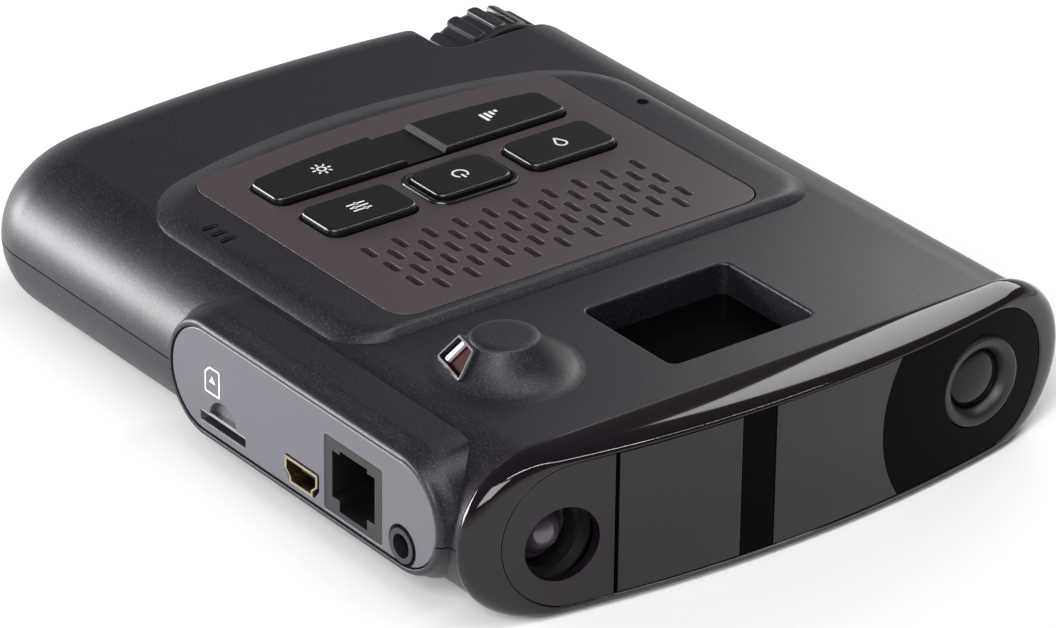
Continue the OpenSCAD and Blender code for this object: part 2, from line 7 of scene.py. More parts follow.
import logging
import math
from dataclasses import dataclass
from enum import Enum
from typing import Callable, ClassVar, Iterable, Optional, Sequence

import bmesh
import bpy
import numpy as np
from mathutils import Matrix, Vector


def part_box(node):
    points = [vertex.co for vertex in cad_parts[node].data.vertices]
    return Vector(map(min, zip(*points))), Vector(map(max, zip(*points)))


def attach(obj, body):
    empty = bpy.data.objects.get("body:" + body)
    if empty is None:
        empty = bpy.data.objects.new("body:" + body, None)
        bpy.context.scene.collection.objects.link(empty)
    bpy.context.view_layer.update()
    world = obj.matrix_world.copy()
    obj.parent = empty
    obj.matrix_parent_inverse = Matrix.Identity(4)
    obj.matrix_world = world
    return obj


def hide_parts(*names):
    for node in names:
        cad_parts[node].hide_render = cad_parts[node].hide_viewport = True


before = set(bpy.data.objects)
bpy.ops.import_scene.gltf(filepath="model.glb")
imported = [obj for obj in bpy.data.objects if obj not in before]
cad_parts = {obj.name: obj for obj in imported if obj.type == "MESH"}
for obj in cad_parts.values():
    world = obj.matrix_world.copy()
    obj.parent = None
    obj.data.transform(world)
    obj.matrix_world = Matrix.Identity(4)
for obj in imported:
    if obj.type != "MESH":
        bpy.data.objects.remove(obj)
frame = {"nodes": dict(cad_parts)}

LOG = logging.getLogger("detector")
MM = 0.001
PROUD = 2.0  # how far a cutting tool stands out of the surface that it opens
Point = tuple[float, float]
Outline = Callable[[float], np.ndarray]
Place = Callable[[float, float, float], tuple[float, float, float]]


class Facing(Enum):
    """Which way a flat outline is carried when it becomes a solid."""

    UP = "up"
    FRONT = "front"
    SIDE = "side"

    def place(self, a: float, b: float, d: float) -> tuple[float, float, float]:
        """Put an outline point (a, b) at depth d along the facing's axis.

        Args:
            a: First coordinate in the outline.
            b: Second coordinate in the outline.
            d: Depth along the axis.

        Returns:
            The point in X, Y and Z.
        """
        if self is Facing.UP:
            return (a, b, d)
        if self is Facing.FRONT:
            return (a, d, b)
        return (d, a, b)


class Cut(Enum):
    """How one solid acts on another."""

    REMOVE = "DIFFERENCE"
    ADD = "UNION"
    KEEP = "INTERSECT"


# ---------------------------------------------------------------- outlines


def rectangle(x0: float, y0: float, x1: float, y1: float, radius: float, steps: int = 8) -> Outline:
    """A rectangle with round corners.

    Args:
        x0: Lowest first coordinate.
        y0: Lowest second coordinate.
        x1: Highest first coordinate.
        y1: Highest second coordinate.
        radius: Corner radius.
        steps: Segments in each corner.

    Returns:
        A function that gives the outline's points, set in by a distance.
    """

    def points(inset: float) -> np.ndarray:
        """Give the points, set in by a distance."""
        r = max(radius - inset, 0.05)
        corners = ((x1 - inset - r, y1 - inset - r), (x0 + inset + r, y1 - inset - r),
                   (x0 + inset + r, y0 + inset + r), (x1 - inset - r, y0 + inset + r))
        turns = np.linspace(0, math.pi / 2, steps + 1)
        rows = [(cx + r * np.cos(turns + k * math.pi / 2), cy + r * np.sin(turns + k * math.pi / 2))
                for k, (cx, cy) in enumerate(corners)]
        return np.vstack([np.column_stack(row) for row in rows])

    return points


def circle(cx: float, cy: float, radius: float, steps: int = 64) -> Outline:
    """A circle about (cx, cy), as a function of how far it is set in.

    Args:
        cx: First coordinate of its centre.
        cy: Second coordinate of its centre.
        radius: Its radius.
        steps: Segments round it.

    Returns:
        A function that gives the outline's points, set in by a distance.
    """

    def points(inset: float) -> np.ndarray:
        """Give the points, set in by a distance."""
        turns = np.linspace(0, 2 * math.pi, steps, endpoint=False)
        r = radius - inset
        return np.column_stack((cx + r * np.cos(turns), cy + r * np.sin(turns)))

    return points


def polygon(corners: Sequence[Point], radius: float = 0.0, steps: int = 4) -> Outline:
    """A polygon, anticlockwise and convex, whose corners may be round.

    Args:
        corners: The corners in order.
        radius: Radius of each corner.
        steps: Segments in each corner.

    Returns:
        A function that gives the outline's points, set in by a distance.
    """
    ring = np.array(corners, float)

    def points(inset: float) -> np.ndarray:
        """Give the points, set in by a distance."""
        out = []
        count = len(ring)
        for k in range(count):
            before, here, after = ring[k - 1], ring[k], ring[(k + 1) % count]
            u = (here - before) / np.linalg.norm(here - before)
            v = (after - here) / np.linalg.norm(after - here)
            nu, nv = np.array((-u[1], u[0])), np.array((-v[1], v[0]))
            r = max(radius - inset, 0.02)
            half = (nu + nv) / (1 + nu @ nv)
            centre = here + half * (inset + r)
            start = math.atan2(-nu[1], -nu[0])
            sweep = (math.atan2(-nv[1], -nv[0]) - start) % (2 * math.pi)
            out += [centre + r * np.array((math.cos(start + sweep * t), math.sin(start + sweep * t)))
                    for t in np.linspace(0, 1, steps + 1)]
        return np.array(out)

    return points


def arc(radius: float, steps: int) -> list[Point]:
    """Pairs of set-in and rise that follow a quarter round, from the side to the face."""
    turns = np.linspace(0, math.pi / 2, steps + 1)
    return [(radius * (1 - math.cos(t)), radius * math.sin(t)) for t in turns]


# ---------------------------------------------------------------- solids


def loft(name: str, rings: Sequence[np.ndarray], closed: bool = False) -> bpy.types.Object:
    """Join rings of equal length into a closed solid.

    Args:
        name: Name of the new object.
        rings: Arrays of points in millimetres.
        closed: Whether the last ring meets the first, as on a torus.

    Returns:
        The solid, with its normals outward.
    """
    count = len(rings[0])
    verts = np.vstack(rings) * MM
    faces: list[Sequence[int]] = []
    spans = len(rings) if closed else len(rings) - 1
    for k in range(spans):
        low, high = k * count, ((k + 1) % len(rings)) * count
        for i in range(count):
            j = (i + 1) % count
            faces.append((low + i, low + j, high + j, high + i))
    if not closed:
        faces.append(tuple(range(count - 1, -1, -1)))
        faces.append(tuple(range(len(verts) - count, len(verts))))
    return solid(name, verts, faces)


def solid(name: str, verts: Iterable[Sequence[float]], faces: Iterable[Sequence[int]]) -> bpy.types.Object:
    """Make an object of vertices in metres and faces, merged and with its normals outward.

    Args:
        name: Name of the new object.
        verts: The vertices.
        faces: The corners of each face, as numbers of vertices.

    Returns:
        The object.
    """
    mesh = bpy.data.meshes.new(name)
    mesh.from_pydata([tuple(v) for v in verts], [], [tuple(f) for f in faces])
    work = bmesh.new()
    work.from_mesh(mesh)
    bmesh.ops.remove_doubles(work, verts=work.verts, dist=1e-7)
    bmesh.ops.dissolve_degenerate(work, edges=work.edges, dist=1e-7)
    bmesh.ops.recalc_face_normals(work, faces=work.faces)
    work.to_mesh(mesh)
    work.free()
    made = bpy.data.objects.new(name, mesh)
    bpy.context.scene.collection.objects.link(made)
    return made


def stack(name: str, outline: Outline, stations: Sequence[tuple[float, float]],
          place: Place = Facing.UP.place) -> bpy.types.Object:
    """Carry one outline through stations of (set-in, depth).

    Args:
        name: Name of the new object.
        outline: The outline as a function of its set-in.
        stations: Set-in and depth of each ring.
        place: Where a point of the outline goes at a depth.

    Returns:
        The closed solid.
    """
    rings = [np.array([place(a, b, depth) for a, b in outline(inset)]) for inset, depth in stations]
    return loft(name, rings)


def slab(name: str, outline: Outline, low: float, high: float, edge: float,
         place: Place = Facing.UP.place, both: bool = False) -> bpy.types.Object:
    """A flat solid between two depths with a rounded edge on its high side, or on both.

    Args:
        name: Name of the new object.
        outline: The outline as a function of its set-in.
        low: Depth of the plain side.
        high: Depth of the rounded side.
        edge: Radius of the rounded edge.
        place: Where a point of the outline goes at a depth.
        both: Whether the low side is rounded too.

    Returns:
        The closed solid.
    """
    sign = 1 if high > low else -1
    round_over = [(inset, high - sign * edge + sign * up) for inset, up in arc(edge, 4)]
    under = [(inset, low + sign * edge - sign * up) for inset, up in arc(edge, 4)][::-1]
    return stack(name, outline, (under if both else [(0, low)]) + round_over, place)


def cutter(outline: Outline, low: float, surface: float, lip: float,
           place: Place = Facing.UP.place) -> bpy.types.Object:
    """A tool that cuts a hollow whose rim is rounded over.

    Args:
        outline: Outline of the hollow.
        low: Depth of its floor.
        surface: Depth of the surface that it opens in.
        lip: Radius of the rim.
        place: Where a point of the outline goes at a depth.

    Returns:
        The tool.
    """
    sign = 1 if surface > low else -1
    rim = [(-lip + lip * math.cos(t), surface - sign * lip * (1 - math.sin(t)))
           for t in np.linspace(0, math.pi / 2, 7)]
    return stack("tool", outline, [(0, low), *rim, (-lip, surface + sign * PROUD)], place)


def lathe(name: str, profile: Sequence[tuple[float, float]], centre: tuple[float, float, float],
          axis: Facing, steps: int = 96, closed: bool = False) -> bpy.types.Object:
    """Turn a profile of (radius, depth) about an axis through a centre.

    Args:
        name: Name of the new object.
        profile: Radius and depth of each ring, from one end to the other.
        centre: A point on the axis, where the depth is 0.
        axis: The way that the depth runs.
        steps: Segments round the axis.
        closed: Whether the last ring meets the first, as on a tube.

    Returns:
        The closed solid.
    """
    turns = np.linspace(0, 2 * math.pi, steps, endpoint=False)
    rings = [np.array([axis.place(r * math.cos(t), r * math.sin(t), d) for t in turns]) + np.array(centre)
             for r, d in profile]
    return loft(name, rings, closed)


def smooth_profile(points: Sequence[tuple[float, float]], steps: int) -> list[tuple[float, float]]:
    """Pass a Catmull-Rom curve through profile points, with some steps between each two.

    Args:
        points: The points.
        steps: Steps between each two points.

    Returns:
        The points of the curve.
    """
    path = [np.array(p, float) for p in points]
    path = [2 * path[0] - path[1], *path, 2 * path[-1] - path[-2]]
    out = []
    for k in range(1, len(path) - 2):
        a, b, c, d = path[k - 1:k + 3]
        for t in np.linspace(0, 1, steps, endpoint=False):
            out.append(0.5 * (2 * b + (c - a) * t + (2 * a - 5 * b + 4 * c - d) * t * t
                              + (3 * b - a - 3 * c + d) * t ** 3))
    return [tuple(p) for p in out] + [tuple(points[-1])]


def plain_mesh(piece: bpy.types.Object) -> bpy.types.Object:
    """Swap a piece's mesh for the result of its modifiers, and drop them.

    Args:
        piece: The piece.

    Returns:
        The piece.
    """
    bpy.context.view_layer.update()
    graph = bpy.context.evaluated_depsgraph_get()
    made = bpy.data.meshes.new_from_object(piece.evaluated_get(graph), preserve_all_data_layers=True,
                                           depsgraph=graph)
    piece.modifiers.clear()
    piece.data = made
    return piece


def combine(piece: bpy.types.Object, tools: Sequence[bpy.types.Object], how: Cut) -> bpy.types.Object:
    """Cut a piece with tools, or join them to it, and delete the tools.

    Args:
        piece: The piece.
        tools: The solids that act on it, in order.
        how: What they do to it.

    Returns:
        The piece.
    """
    for tool in tools:
        step = piece.modifiers.new(how.value, "BOOLEAN")
        step.operation = how.value
        step.object = tool
        step.solver = "EXACT"
    plain_mesh(piece)
    for tool in tools:
        bpy.data.objects.remove(tool)
    return piece


def join(name: str, parts: Sequence[bpy.types.Object]) -> bpy.types.Object:
    """Gather separate closed solids into one object without cutting them.

    Args:
        name: Name of the new object.
        parts: The solids, which are deleted.

    Returns:
        The new object.
    """
    work = bmesh.new()
    for part in parts:
        work.from_mesh(part.data)
        bpy.data.objects.remove(part)
    mesh = bpy.data.meshes.new(name)
    work.to_mesh(mesh)
    work.free()
    made = bpy.data.objects.new(name, mesh)
    bpy.context.scene.collection.objects.link(made)
    return made


def fair(piece: bpy.types.Object, angle: float = 32.0) -> bpy.types.Object:
    """Shade a piece smooth, with creases sharper than an angle in degrees and large faces flat.

    Args:
        piece: The piece.
        angle: The angle.

    Returns:
        The piece.
    """
    piece.data.shade_smooth()
    piece.data.set_sharp_from_angle(angle=math.radians(angle))
    step = piece.modifiers.new("weighted", "WEIGHTED_NORMAL")
    step.keep_sharp = True
    step.weight = 60
    return plain_mesh(piece)


# ---------------------------------------------------------------- finishes


def linear(code: str) -> tuple[float, float, float, float]:
    """Turn an sRGB hex colour into linear light."""
    parts = [int(code[k:k + 2], 16) / 255 for k in (1, 3, 5)]
    return tuple(c / 12.92 if c <= 0.04045 else ((c + 0.055) / 1.055) ** 2.4 for c in parts) + (1.0,)


def add_node(tree: bpy.types.NodeTree, kind: str, settings: Optional[dict] = None,
             links: Optional[dict] = None) -> bpy.types.Node:
    """Add a node to a tree.

    Args:
        tree: The tree.
        kind: The node's type.
        settings: Values by attribute name, or by input name or number for sockets.
        links: The output socket that feeds each input, by input name or number.

    Returns:
        The new node.
    """
    node = tree.nodes.new(kind)
    for key, value in (settings or {}).items():
        if isinstance(key, str) and hasattr(node, key):
            setattr(node, key, value)
        else:
            node.inputs[key].default_value = value
    for key, source in (links or {}).items():
        tree.links.new(source, node.inputs[key])
    return node


def reckon(tree: bpy.types.NodeTree, operation: str, first: bpy.types.NodeSocket,
           second: float | bpy.types.NodeSocket) -> bpy.types.NodeSocket:
    """Add a maths node to a tree.

    Args:
        tree: The tree.
        operation: What it does.
        first: The socket that feeds its first input.
        second: A number, or the socket that feeds its second input.

    Returns:
        Its output.
    """
    plain = isinstance(second, float)
    return add_node(tree, "ShaderNodeMath", {"operation": operation, **({1: second} if plain else {})},
                    {0: first, **({} if plain else {1: second})}).outputs[0]


@dataclass(frozen=True)
class Finish:
    """One surface finish: its body colour, its gloss and the texture that its making leaves."""

    name: str
    colour: str
    roughness: float
    metallic: float = 0.0
    ior: float = 1.5
    grain_mm: float = 0.0
    grain_depth_mm: float = 0.0
    fleck: str = ""
    fleck_mm: float = 0.3
    fleck_share: float = 0.0
    patch: float = 0.0
    patch_mm: float = 25.0
    coat: float = 0.0
    coat_roughness: float = 0.05
    specular: float = 0.5

    def material(self) -> bpy.types.Material:
        """Build the finish once and hand the same material out afterwards.

        Returns:
            The material.
        """
        found = bpy.data.materials.get(self.name)
        if found:
            return found
        made = bpy.data.materials.new(self.name)
        made.use_nodes = True
        tree = made.node_tree
        tree.nodes.clear()
        shader = add_node(tree, "ShaderNodeBsdfPrincipled", {
            "Base Color": linear(self.colour), "Roughness": self.roughness,
            "Metallic": self.metallic, "Coat Weight": self.coat,
            "Coat Roughness": self.coat_roughness, "Specular IOR Level": self.specular})
        if self.metallic < 0.5:
            shader.inputs["IOR"].default_value = self.ior
        add_node(tree, "ShaderNodeOutputMaterial", {}, {"Surface": shader.outputs[0]})
        if self.grain_mm or self.fleck_share or self.patch:
            self._texture(tree, shader)
        return made

    def _texture(self, tree: bpy.types.NodeTree, shader: bpy.types.Node) -> None:
        """Add grain, flecks and a slow change of gloss, all at real sizes in millimetres.

        Args:
            tree: The material's node tree.
            shader: Its surface shader.
        """
        place = add_node(tree, "ShaderNodeTexCoord")
        if self.grain_mm:
            grain = add_node(tree, "ShaderNodeTexNoise",
                             {"Scale": 1 / (self.grain_mm * MM), "Detail": 2.0, "Roughness": 0.6},
                             {"Vector": place.outputs["Object"]})
            bump = add_node(tree, "ShaderNodeBump",
                            {"Strength": 1.0, "Distance": self.grain_depth_mm * MM},
                            {"Height": grain.outputs[0]})
            tree.links.new(bump.outputs[0], shader.inputs["Normal"])
        if self.patch:
            cloud = add_node(tree, "ShaderNodeTexNoise",
                             {"Scale": 1 / (self.patch_mm * MM), "Detail": 3.0},
                             {"Vector": place.outputs["Object"]})
            gloss = add_node(tree, "ShaderNodeMapRange",
                             {"From Min": 0.3, "From Max": 0.7,
                              "To Min": self.roughness - self.patch, "To Max": self.roughness + self.patch},
                             {"Value": cloud.outputs[0]})
            tree.links.new(gloss.outputs[0], shader.inputs["Roughness"])
        if self.fleck_share:
            cells = add_node(tree, "ShaderNodeTexNoise",
                             {"Scale": 1 / (self.fleck_mm * MM), "Detail": 1.0, "Roughness": 0.5},
                             {"Vector": place.outputs["Object"]})
            chosen = add_node(tree, "ShaderNodeMapRange",
                              {"From Min": 0.72 - self.fleck_share, "From Max": 0.80 - self.fleck_share},
                              {"Value": cells.outputs[0]})
            mix = add_node(tree, "ShaderNodeMix", {"data_type": "RGBA"}, {0: chosen.outputs[0]})
            mix.inputs[6].default_value = linear(self.colour)
            mix.inputs[7].default_value = linear(self.fleck)
            tree.links.new(mix.outputs[2], shader.inputs["Base Color"])


class Finishes:
    """Every finish of the detector, named for the real material and how it was made."""

    # Metallic charcoal paint on moulded ABS: fine aluminium flake gives it a soft violet-grey sheen.
    BODY = Finish("charcoal_flake_paint_on_ABS", "#16131a", 0.42, metallic=0.15, grain_mm=0.28,
                  grain_depth_mm=0.012, fleck="#38343e", fleck_mm=0.24, fleck_share=0.15, patch=0.03)
    # Fine spark-eroded ABS with a warm umber tint: smoother and browner than the paint round it.
    PANEL = Finish("umber_satin_moulded_ABS", "#40373b", 0.38, grain_mm=0.22, grain_depth_mm=0.004,
                   patch=0.02, patch_mm=18.0)
    # Polycarbonate keys, half polished: black, with a clear line of light on each edge.
    KEY = Finish("black_half_gloss_polycarbonate", "#0b0a0c", 0.26, ior=1.58, grain_mm=0.4,
                 grain_depth_mm=0.0015)
    # Piano-black ABS from a mirror-polished mould, which gives sharp reflections.
    NOSE = Finish("piano_black_polished_ABS", "#120a11", 0.06, ior=1.46)
    # Infrared-pass acrylic, polished: looks black and reflects a little more than the rim.
    WINDOW = Finish("black_infrared_pass_acrylic", "#0b0a0d", 0.05, ior=1.49)
    # Flat black paint inside the optics, which keeps stray light out of them.
    BAFFLE = Finish("matt_black_optical_paint", "#050506", 0.6)
    # Smoked glass over the camera, with a faint blue anti-reflection coating.
    LENS = Finish("coated_smoked_glass", "#07090f", 0.03, ior=1.6, specular=0.25)
    # Black anodised ring round the camera: a dull dark grey.
    HOOD = Finish("black_anodised_aluminium", "#141316", 0.42, grain_mm=0.3, grain_depth_mm=0.002)
    # Light grey strip beside the rear sensor's window: a painted reflection that stands in for light caught
    # on the window's bevel.
    PAINTED_GLINT_STRIP = Finish("light_grey_strip_painted_reflection", "#c9cacf", 0.12, ior=1.49)
    # Moulded purple-grey laser lens, polished.
    LASER = Finish("smoked_violet_moulded_lens", "#4b434f", 0.12, ior=1.58, coat=0.8)
    # Black infrared-pass acrylic with an anti-reflection coating: hardly reflects, so it looks deeper.
    COATED = Finish("anti_reflection_coated_acrylic", "#050405", 0.18, ior=1.2, specular=0.12)
    # Dark red infrared-pass acrylic of the rear sensor: hardly reflects, so only its colour shows.
    RED_PANE = Finish("red_infrared_pass_acrylic", "#2c0509", 0.32, ior=1.2, specular=0.1)
    # Dark grey moulded ABS with a fine matt grain for the socket bay.
    BAY = Finish("graphite_matt_moulded_ABS", "#55545b", 0.38, grain_mm=0.25, grain_depth_mm=0.004)
    # Glass-filled nylon of the sockets: dull black.
    SOCKET = Finish("black_glass_filled_nylon", "#0c0c0e", 0.45, grain_mm=0.3, grain_depth_mm=0.003)
    # Ribbed knob in a dark grey moulded nylon with a low sheen.
    KNOB = Finish("dark_grey_moulded_nylon", "#1f1e22", 0.36, grain_mm=0.25, grain_depth_mm=0.003)
    # White pad-printed ink: flat, even and without gloss.
    INK = Finish("white_pad_print_ink", "#d8d8da", 0.5)
    # Bright nickel on the USB shell, slightly warm, with blurred reflections.
    NICKEL = Finish("bright_nickel_plate", "#b9ab92", 0.24, metallic=1.0)
    # Rolled stainless steel: light grey, with soft reflections.
    STEEL = Finish("rolled_stainless_steel", "#a9abae", 0.34, metallic=1.0)
    # Gold flash on spring contacts: a small warm glint.
    GOLD = Finish("gold_flash_on_bronze", "#c9a24e", 0.25, metallic=1.0)
    # Green solder mask over copper: a dark green lacquer with a faint ripple.
    MASK = Finish("green_solder_mask", "#1c4a2c", 0.35, grain_mm=1.2, grain_depth_mm=0.01)
    # Grey moulded silicone: dull and soft.
    SILICONE = Finish("grey_moulded_silicone", "#3e3e42", 0.55, ior=1.41)
    # Pressed black paper of the loudspeaker's cone, with its fibres.
    PAPER = Finish("pressed_paper_cone", "#1c1c1e", 0.85, grain_mm=0.5, grain_depth_mm=0.02)
    # Woven black dust cloth: deep black, its weave shown only as a coarse grain.
    CLOTH = Finish("woven_dust_cloth", "#0a0a0b", 0.9, grain_mm=0.4, grain_depth_mm=0.03)
    # Zinc from a pressure die, left as cast: mid grey and slightly uneven.
    ZINC = Finish("pressure_cast_zinc", "#85878b", 0.42, metallic=1.0, grain_mm=0.8, grain_depth_mm=0.01)
    # Fired patch ceramic of the satellite aerial: pale and dull.
    CERAMIC = Finish("fired_patch_ceramic", "#b7ab90", 0.5)
    # Black zinc-plated screw steel: dark, with a metal sheen.
    SCREW = Finish("black_zinc_plated_steel", "#3b3b3e", 0.35, metallic=1.0)


def dress(piece: bpy.types.Object, finish: Finish, body: str,
          replaced: Sequence[str] = ()) -> bpy.types.Object:
    """Give a finished piece its finish, its body and the nodes that it stands for.

    Args:
        piece: The piece.
        finish: Its finish.
        body: The body that it moves with.
        replaced: The frame's nodes that it stands for.

    Returns:
        The piece.
    """
    piece.data.materials.clear()
    piece.data.materials.append(finish.material())
    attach(piece, body)
    if replaced:
        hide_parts(*replaced)
    LOG.info("%s: %d faces, on %s", piece.name, len(piece.data.polygons), body)
    return piece


# ---------------------------------------------------------------- repeats


class Repeat(Enum):
    """The pattern that a repeated shape follows."""

    STAGGERED = "staggered_rows"
    RING = "ring"
    SPOTS = "spots"


def tree_inputs(tree: bpy.types.NodeTree, sizes: dict[str, str]) -> bpy.types.Node:
    """Declare a geometry tree's sockets and return its input node.

    Args:
        tree: The tree.
        sizes: Socket type by name, apart from the geometry and the material.

    Returns:
        The group input node.
    """
    face = tree.interface
    face.new_socket(name="Geometry", in_out="OUTPUT", socket_type="NodeSocketGeometry")
    face.new_socket(name="Geometry", in_out="INPUT", socket_type="NodeSocketGeometry")
    for name, kind in sizes.items():
        face.new_socket(name=name, in_out="INPUT", socket_type=kind)
    face.new_socket(name="Material", in_out="INPUT", socket_type="NodeSocketMaterial")
    return add_node(tree, "NodeGroupInput")


def finish_tree(tree: bpy.types.NodeTree, given: bpy.types.Node, instances: bpy.types.NodeSocket) -> None:
    """End a geometry tree in Realize Instances and Set Material.

    Args:
        tree: The tree.
        given: Its input node.
        instances: The output socket that carries the instances.
    """
    real = add_node(tree, "GeometryNodeRealizeInstances", {}, {0: instances})
    dressed = add_node(tree, "GeometryNodeSetMaterial", {},
                       {"Geometry": real.outputs[0], "Material": given.outputs["Material"]})
    add_node(tree, "NodeGroupOutput", {}, {0: dressed.outputs[0]})


def staggered_tree() -> bpy.types.NodeTree:
    """A tree that sets its geometry out in two interleaved grids, the second one column short.

    Returns:
        The tree.
    """
    tree = bpy.data.node_groups.new(Repeat.STAGGERED.value, "GeometryNodeTree")
    given = tree_inputs(tree, {"Columns": "NodeSocketInt", "Rows": "NodeSocketInt",
                               "Pitch": "NodeSocketFloat", "Row Pitch": "NodeSocketFloat"})
    out = given.outputs
    sets = []
    for short in (0, 1):
        columns = reckon(tree, "SUBTRACT", out["Columns"], float(short))
        width = reckon(tree, "MULTIPLY", reckon(tree, "SUBTRACT", columns, 1.0), out["Pitch"])
        height = reckon(tree, "MULTIPLY", reckon(tree, "SUBTRACT", out["Rows"], 1.0), out["Row Pitch"])
        grid = add_node(tree, "GeometryNodeMeshGrid", {},
                        {"Size X": width, "Size Y": height, "Vertices X": columns, "Vertices Y": out["Rows"]})
        drop = reckon(tree, "MULTIPLY", out["Row Pitch"], -0.5 * short)
        shift = add_node(tree, "ShaderNodeCombineXYZ", {}, {"Y": drop})
        moved = add_node(tree, "GeometryNodeTransform", {},
                         {"Geometry": grid.outputs[0], "Translation": shift.outputs[0]})
        sets.append(add_node(tree, "GeometryNodeInstanceOnPoints", {},
                             {"Points": moved.outputs[0], "Instance": out["Geometry"]}).outputs[0])
    both = add_node(tree, "GeometryNodeJoinGeometry")
    for source in reversed(sets):
        tree.links.new(source, both.inputs[0])
    finish_tree(tree, given, both.outputs[0])
    return tree


def ring_tree() -> bpy.types.NodeTree:
    """A tree that repeats its geometry round the Y axis.

    Returns:
        The tree.
    """
    tree = bpy.data.node_groups.new(Repeat.RING.value, "GeometryNodeTree")
    given = tree_inputs(tree, {"Count": "NodeSocketInt"})
    out = given.outputs
    points = add_node(tree, "GeometryNodePoints", {}, {"Count": out["Count"]})
    index = add_node(tree, "GeometryNodeInputIndex")
    share = reckon(tree, "DIVIDE", index.outputs[0], out["Count"])
    angle = reckon(tree, "MULTIPLY", share, 2 * math.pi)
    turn = add_node(tree, "ShaderNodeCombineXYZ", {}, {"Y": angle})
    placed = add_node(tree, "GeometryNodeInstanceOnPoints", {},
                      {"Points": points.outputs[0], "Instance": out["Geometry"],
                       "Rotation": turn.outputs[0]})
    finish_tree(tree, given, placed.outputs[0])
    return tree


def spots_tree() -> bpy.types.NodeTree:
    """A tree that sets an object on each vertex of its geometry.

    Returns:
        The tree.
    """
    tree = bpy.data.node_groups.new(Repeat.SPOTS.value, "GeometryNodeTree")
    given = tree_inputs(tree, {"Part": "NodeSocketObject"})
    out = given.outputs
    info = add_node(tree, "GeometryNodeObjectInfo", {}, {"Object": out["Part"]})
    placed = add_node(tree, "GeometryNodeInstanceOnPoints", {},
                      {"Points": out["Geometry"], "Instance": info.outputs["Geometry"]})
    finish_tree(tree, given, placed.outputs[0])
    return tree


def repeat(piece: bpy.types.Object, tree: bpy.types.NodeTree, values: dict[str, object],
           finish: Finish) -> bpy.types.Object:
    """Run a geometry tree on a piece and keep the plain mesh that it makes.

    Args:
        piece: The piece that is repeated, or the spots that a part is set on.
        tree: The tree.
        values: The value of each named input.
        finish: The finish of what is made.

    Returns:
        The piece with its new mesh.
    """
    step = piece.modifiers.new(tree.name, "NODES")
    step.node_group = tree
    sockets = {s.name: s.identifier for s in tree.interface.items_tree if s.in_out == "INPUT"}
    for name, value in {**values, "Material": finish.material()}.items():
        step[sockets[name]] = value
    return plain_mesh(piece)


def shift(piece: bpy.types.Object, x: float, y: float, z: float) -> bpy.types.Object:
    """Move a piece's mesh by millimetres."""
    piece.data.transform(Matrix.Translation(Vector((x, y, z)) * MM))
    return piece


def span(node: str) -> tuple[np.ndarray, np.ndarray]:
    """A frame node's lowest and highest corners in millimetres."""
    low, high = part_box(node)
    return np.array(low) / MM, np.array(high) / MM


def footprint(node: str, grow: float, radius: float, across: int = 0, up: int = 1) -> Outline:
    """A rectangle round a frame node's box, with round corners.

    Args:
        node: The frame node.
        grow: How far the rectangle stands outside the box, all round.
        radius: Corner radius.
        across: Axis of the outline's first coordinate.
        up: Axis of its second coordinate.

    Returns:
        The outline.
    """
    low, high = span(node)
    return rectangle(low[across] - grow, low[up] - grow, high[across] + grow, high[up] + grow, radius)


def stroke(x0: float, y0: float, x1: float, y1: float, width: float) -> list[Point]:
    """A straight line of some width, as its four corners.

    Args:
        x0: Its start's first coordinate.
        y0: Its start's second coordinate.
        x1: Its end's first coordinate.
        y1: Its end's second coordinate.
        width: Its width.

    Returns:
        The corners, anticlockwise.
    """
    run = np.array((x1 - x0, y1 - y0))
    n = np.array((-run[1], run[0])) / np.linalg.norm(run) * width / 2
    return [(x0 - n[0], y0 - n[1]), (x1 - n[0], y1 - n[1]), (x1 + n[0], y1 + n[1]), (x0 + n[0], y0 + n[1])]


def tile(x0: float, y0: float, x1: float, y1: float) -> list[Point]:
    """The four corners of a plain rectangle."""
    return [(x0, y0), (x1, y0), (x1, y1), (x0, y1)]


def bowed(x0: float, y0: float, x1: float, y1: float, front_r: float, back_r: float,
          bow: float) -> Callable[[float, float, float], np.ndarray]:
    """A rectangle with round corners whose back edge bows out in its middle.

    Args:
        x0: Left side.
        y0: Front side.
        x1: Right side.
        y1: Back side at its middle.
        front_r: Radius of the front corners.
        back_r: Radius of the back corners.
        bow: How far the back's middle stands behind its ends.

    Returns:
        A function of the set-in of the front, the sides and the back.
    """

    def points(front: float, side: float, back: float) -> np.ndarray:
        """Give the points, set in by a distance at the front, the sides and the back."""
        left, right = x0 + side, x1 - side
        middle = (left + right) / 2
        rf = max(front_r - min(front, side), 0.3)
        rb = max(back_r - min(side, back), 0.3)
        lean = math.atan(2 * bow / (right - middle - rb))
        reach = right - middle - rb + rb * math.sin(lean)
        rise = math.tan(lean) * reach / 2
        cy = y1 - back - rise - rb * math.cos(lean)
        turn = np.linspace(0, math.pi / 2 - lean, 11)
        corner = np.column_stack((right - rb + rb * np.cos(turn), cy + rb * np.sin(turn)))
        xs = np.linspace(reach, -reach, 25)[1:-1]
        edge = np.column_stack((middle + xs, cy + rb * math.cos(lean) + rise * (1 - (xs / reach) ** 2)))
        other = np.column_stack((2 * middle - corner[::-1, 0], corner[::-1, 1]))
        turn = np.linspace(math.pi, 1.5 * math.pi, 9)
        low_left = np.column_stack((left + rf + rf * np.cos(turn), y0 + front + rf + rf * np.sin(turn)))
        low_right = np.column_stack((2 * middle - low_left[::-1, 0], low_left[::-1, 1]))
        return np.vstack((corner, edge, other, low_left, low_right))

    return points


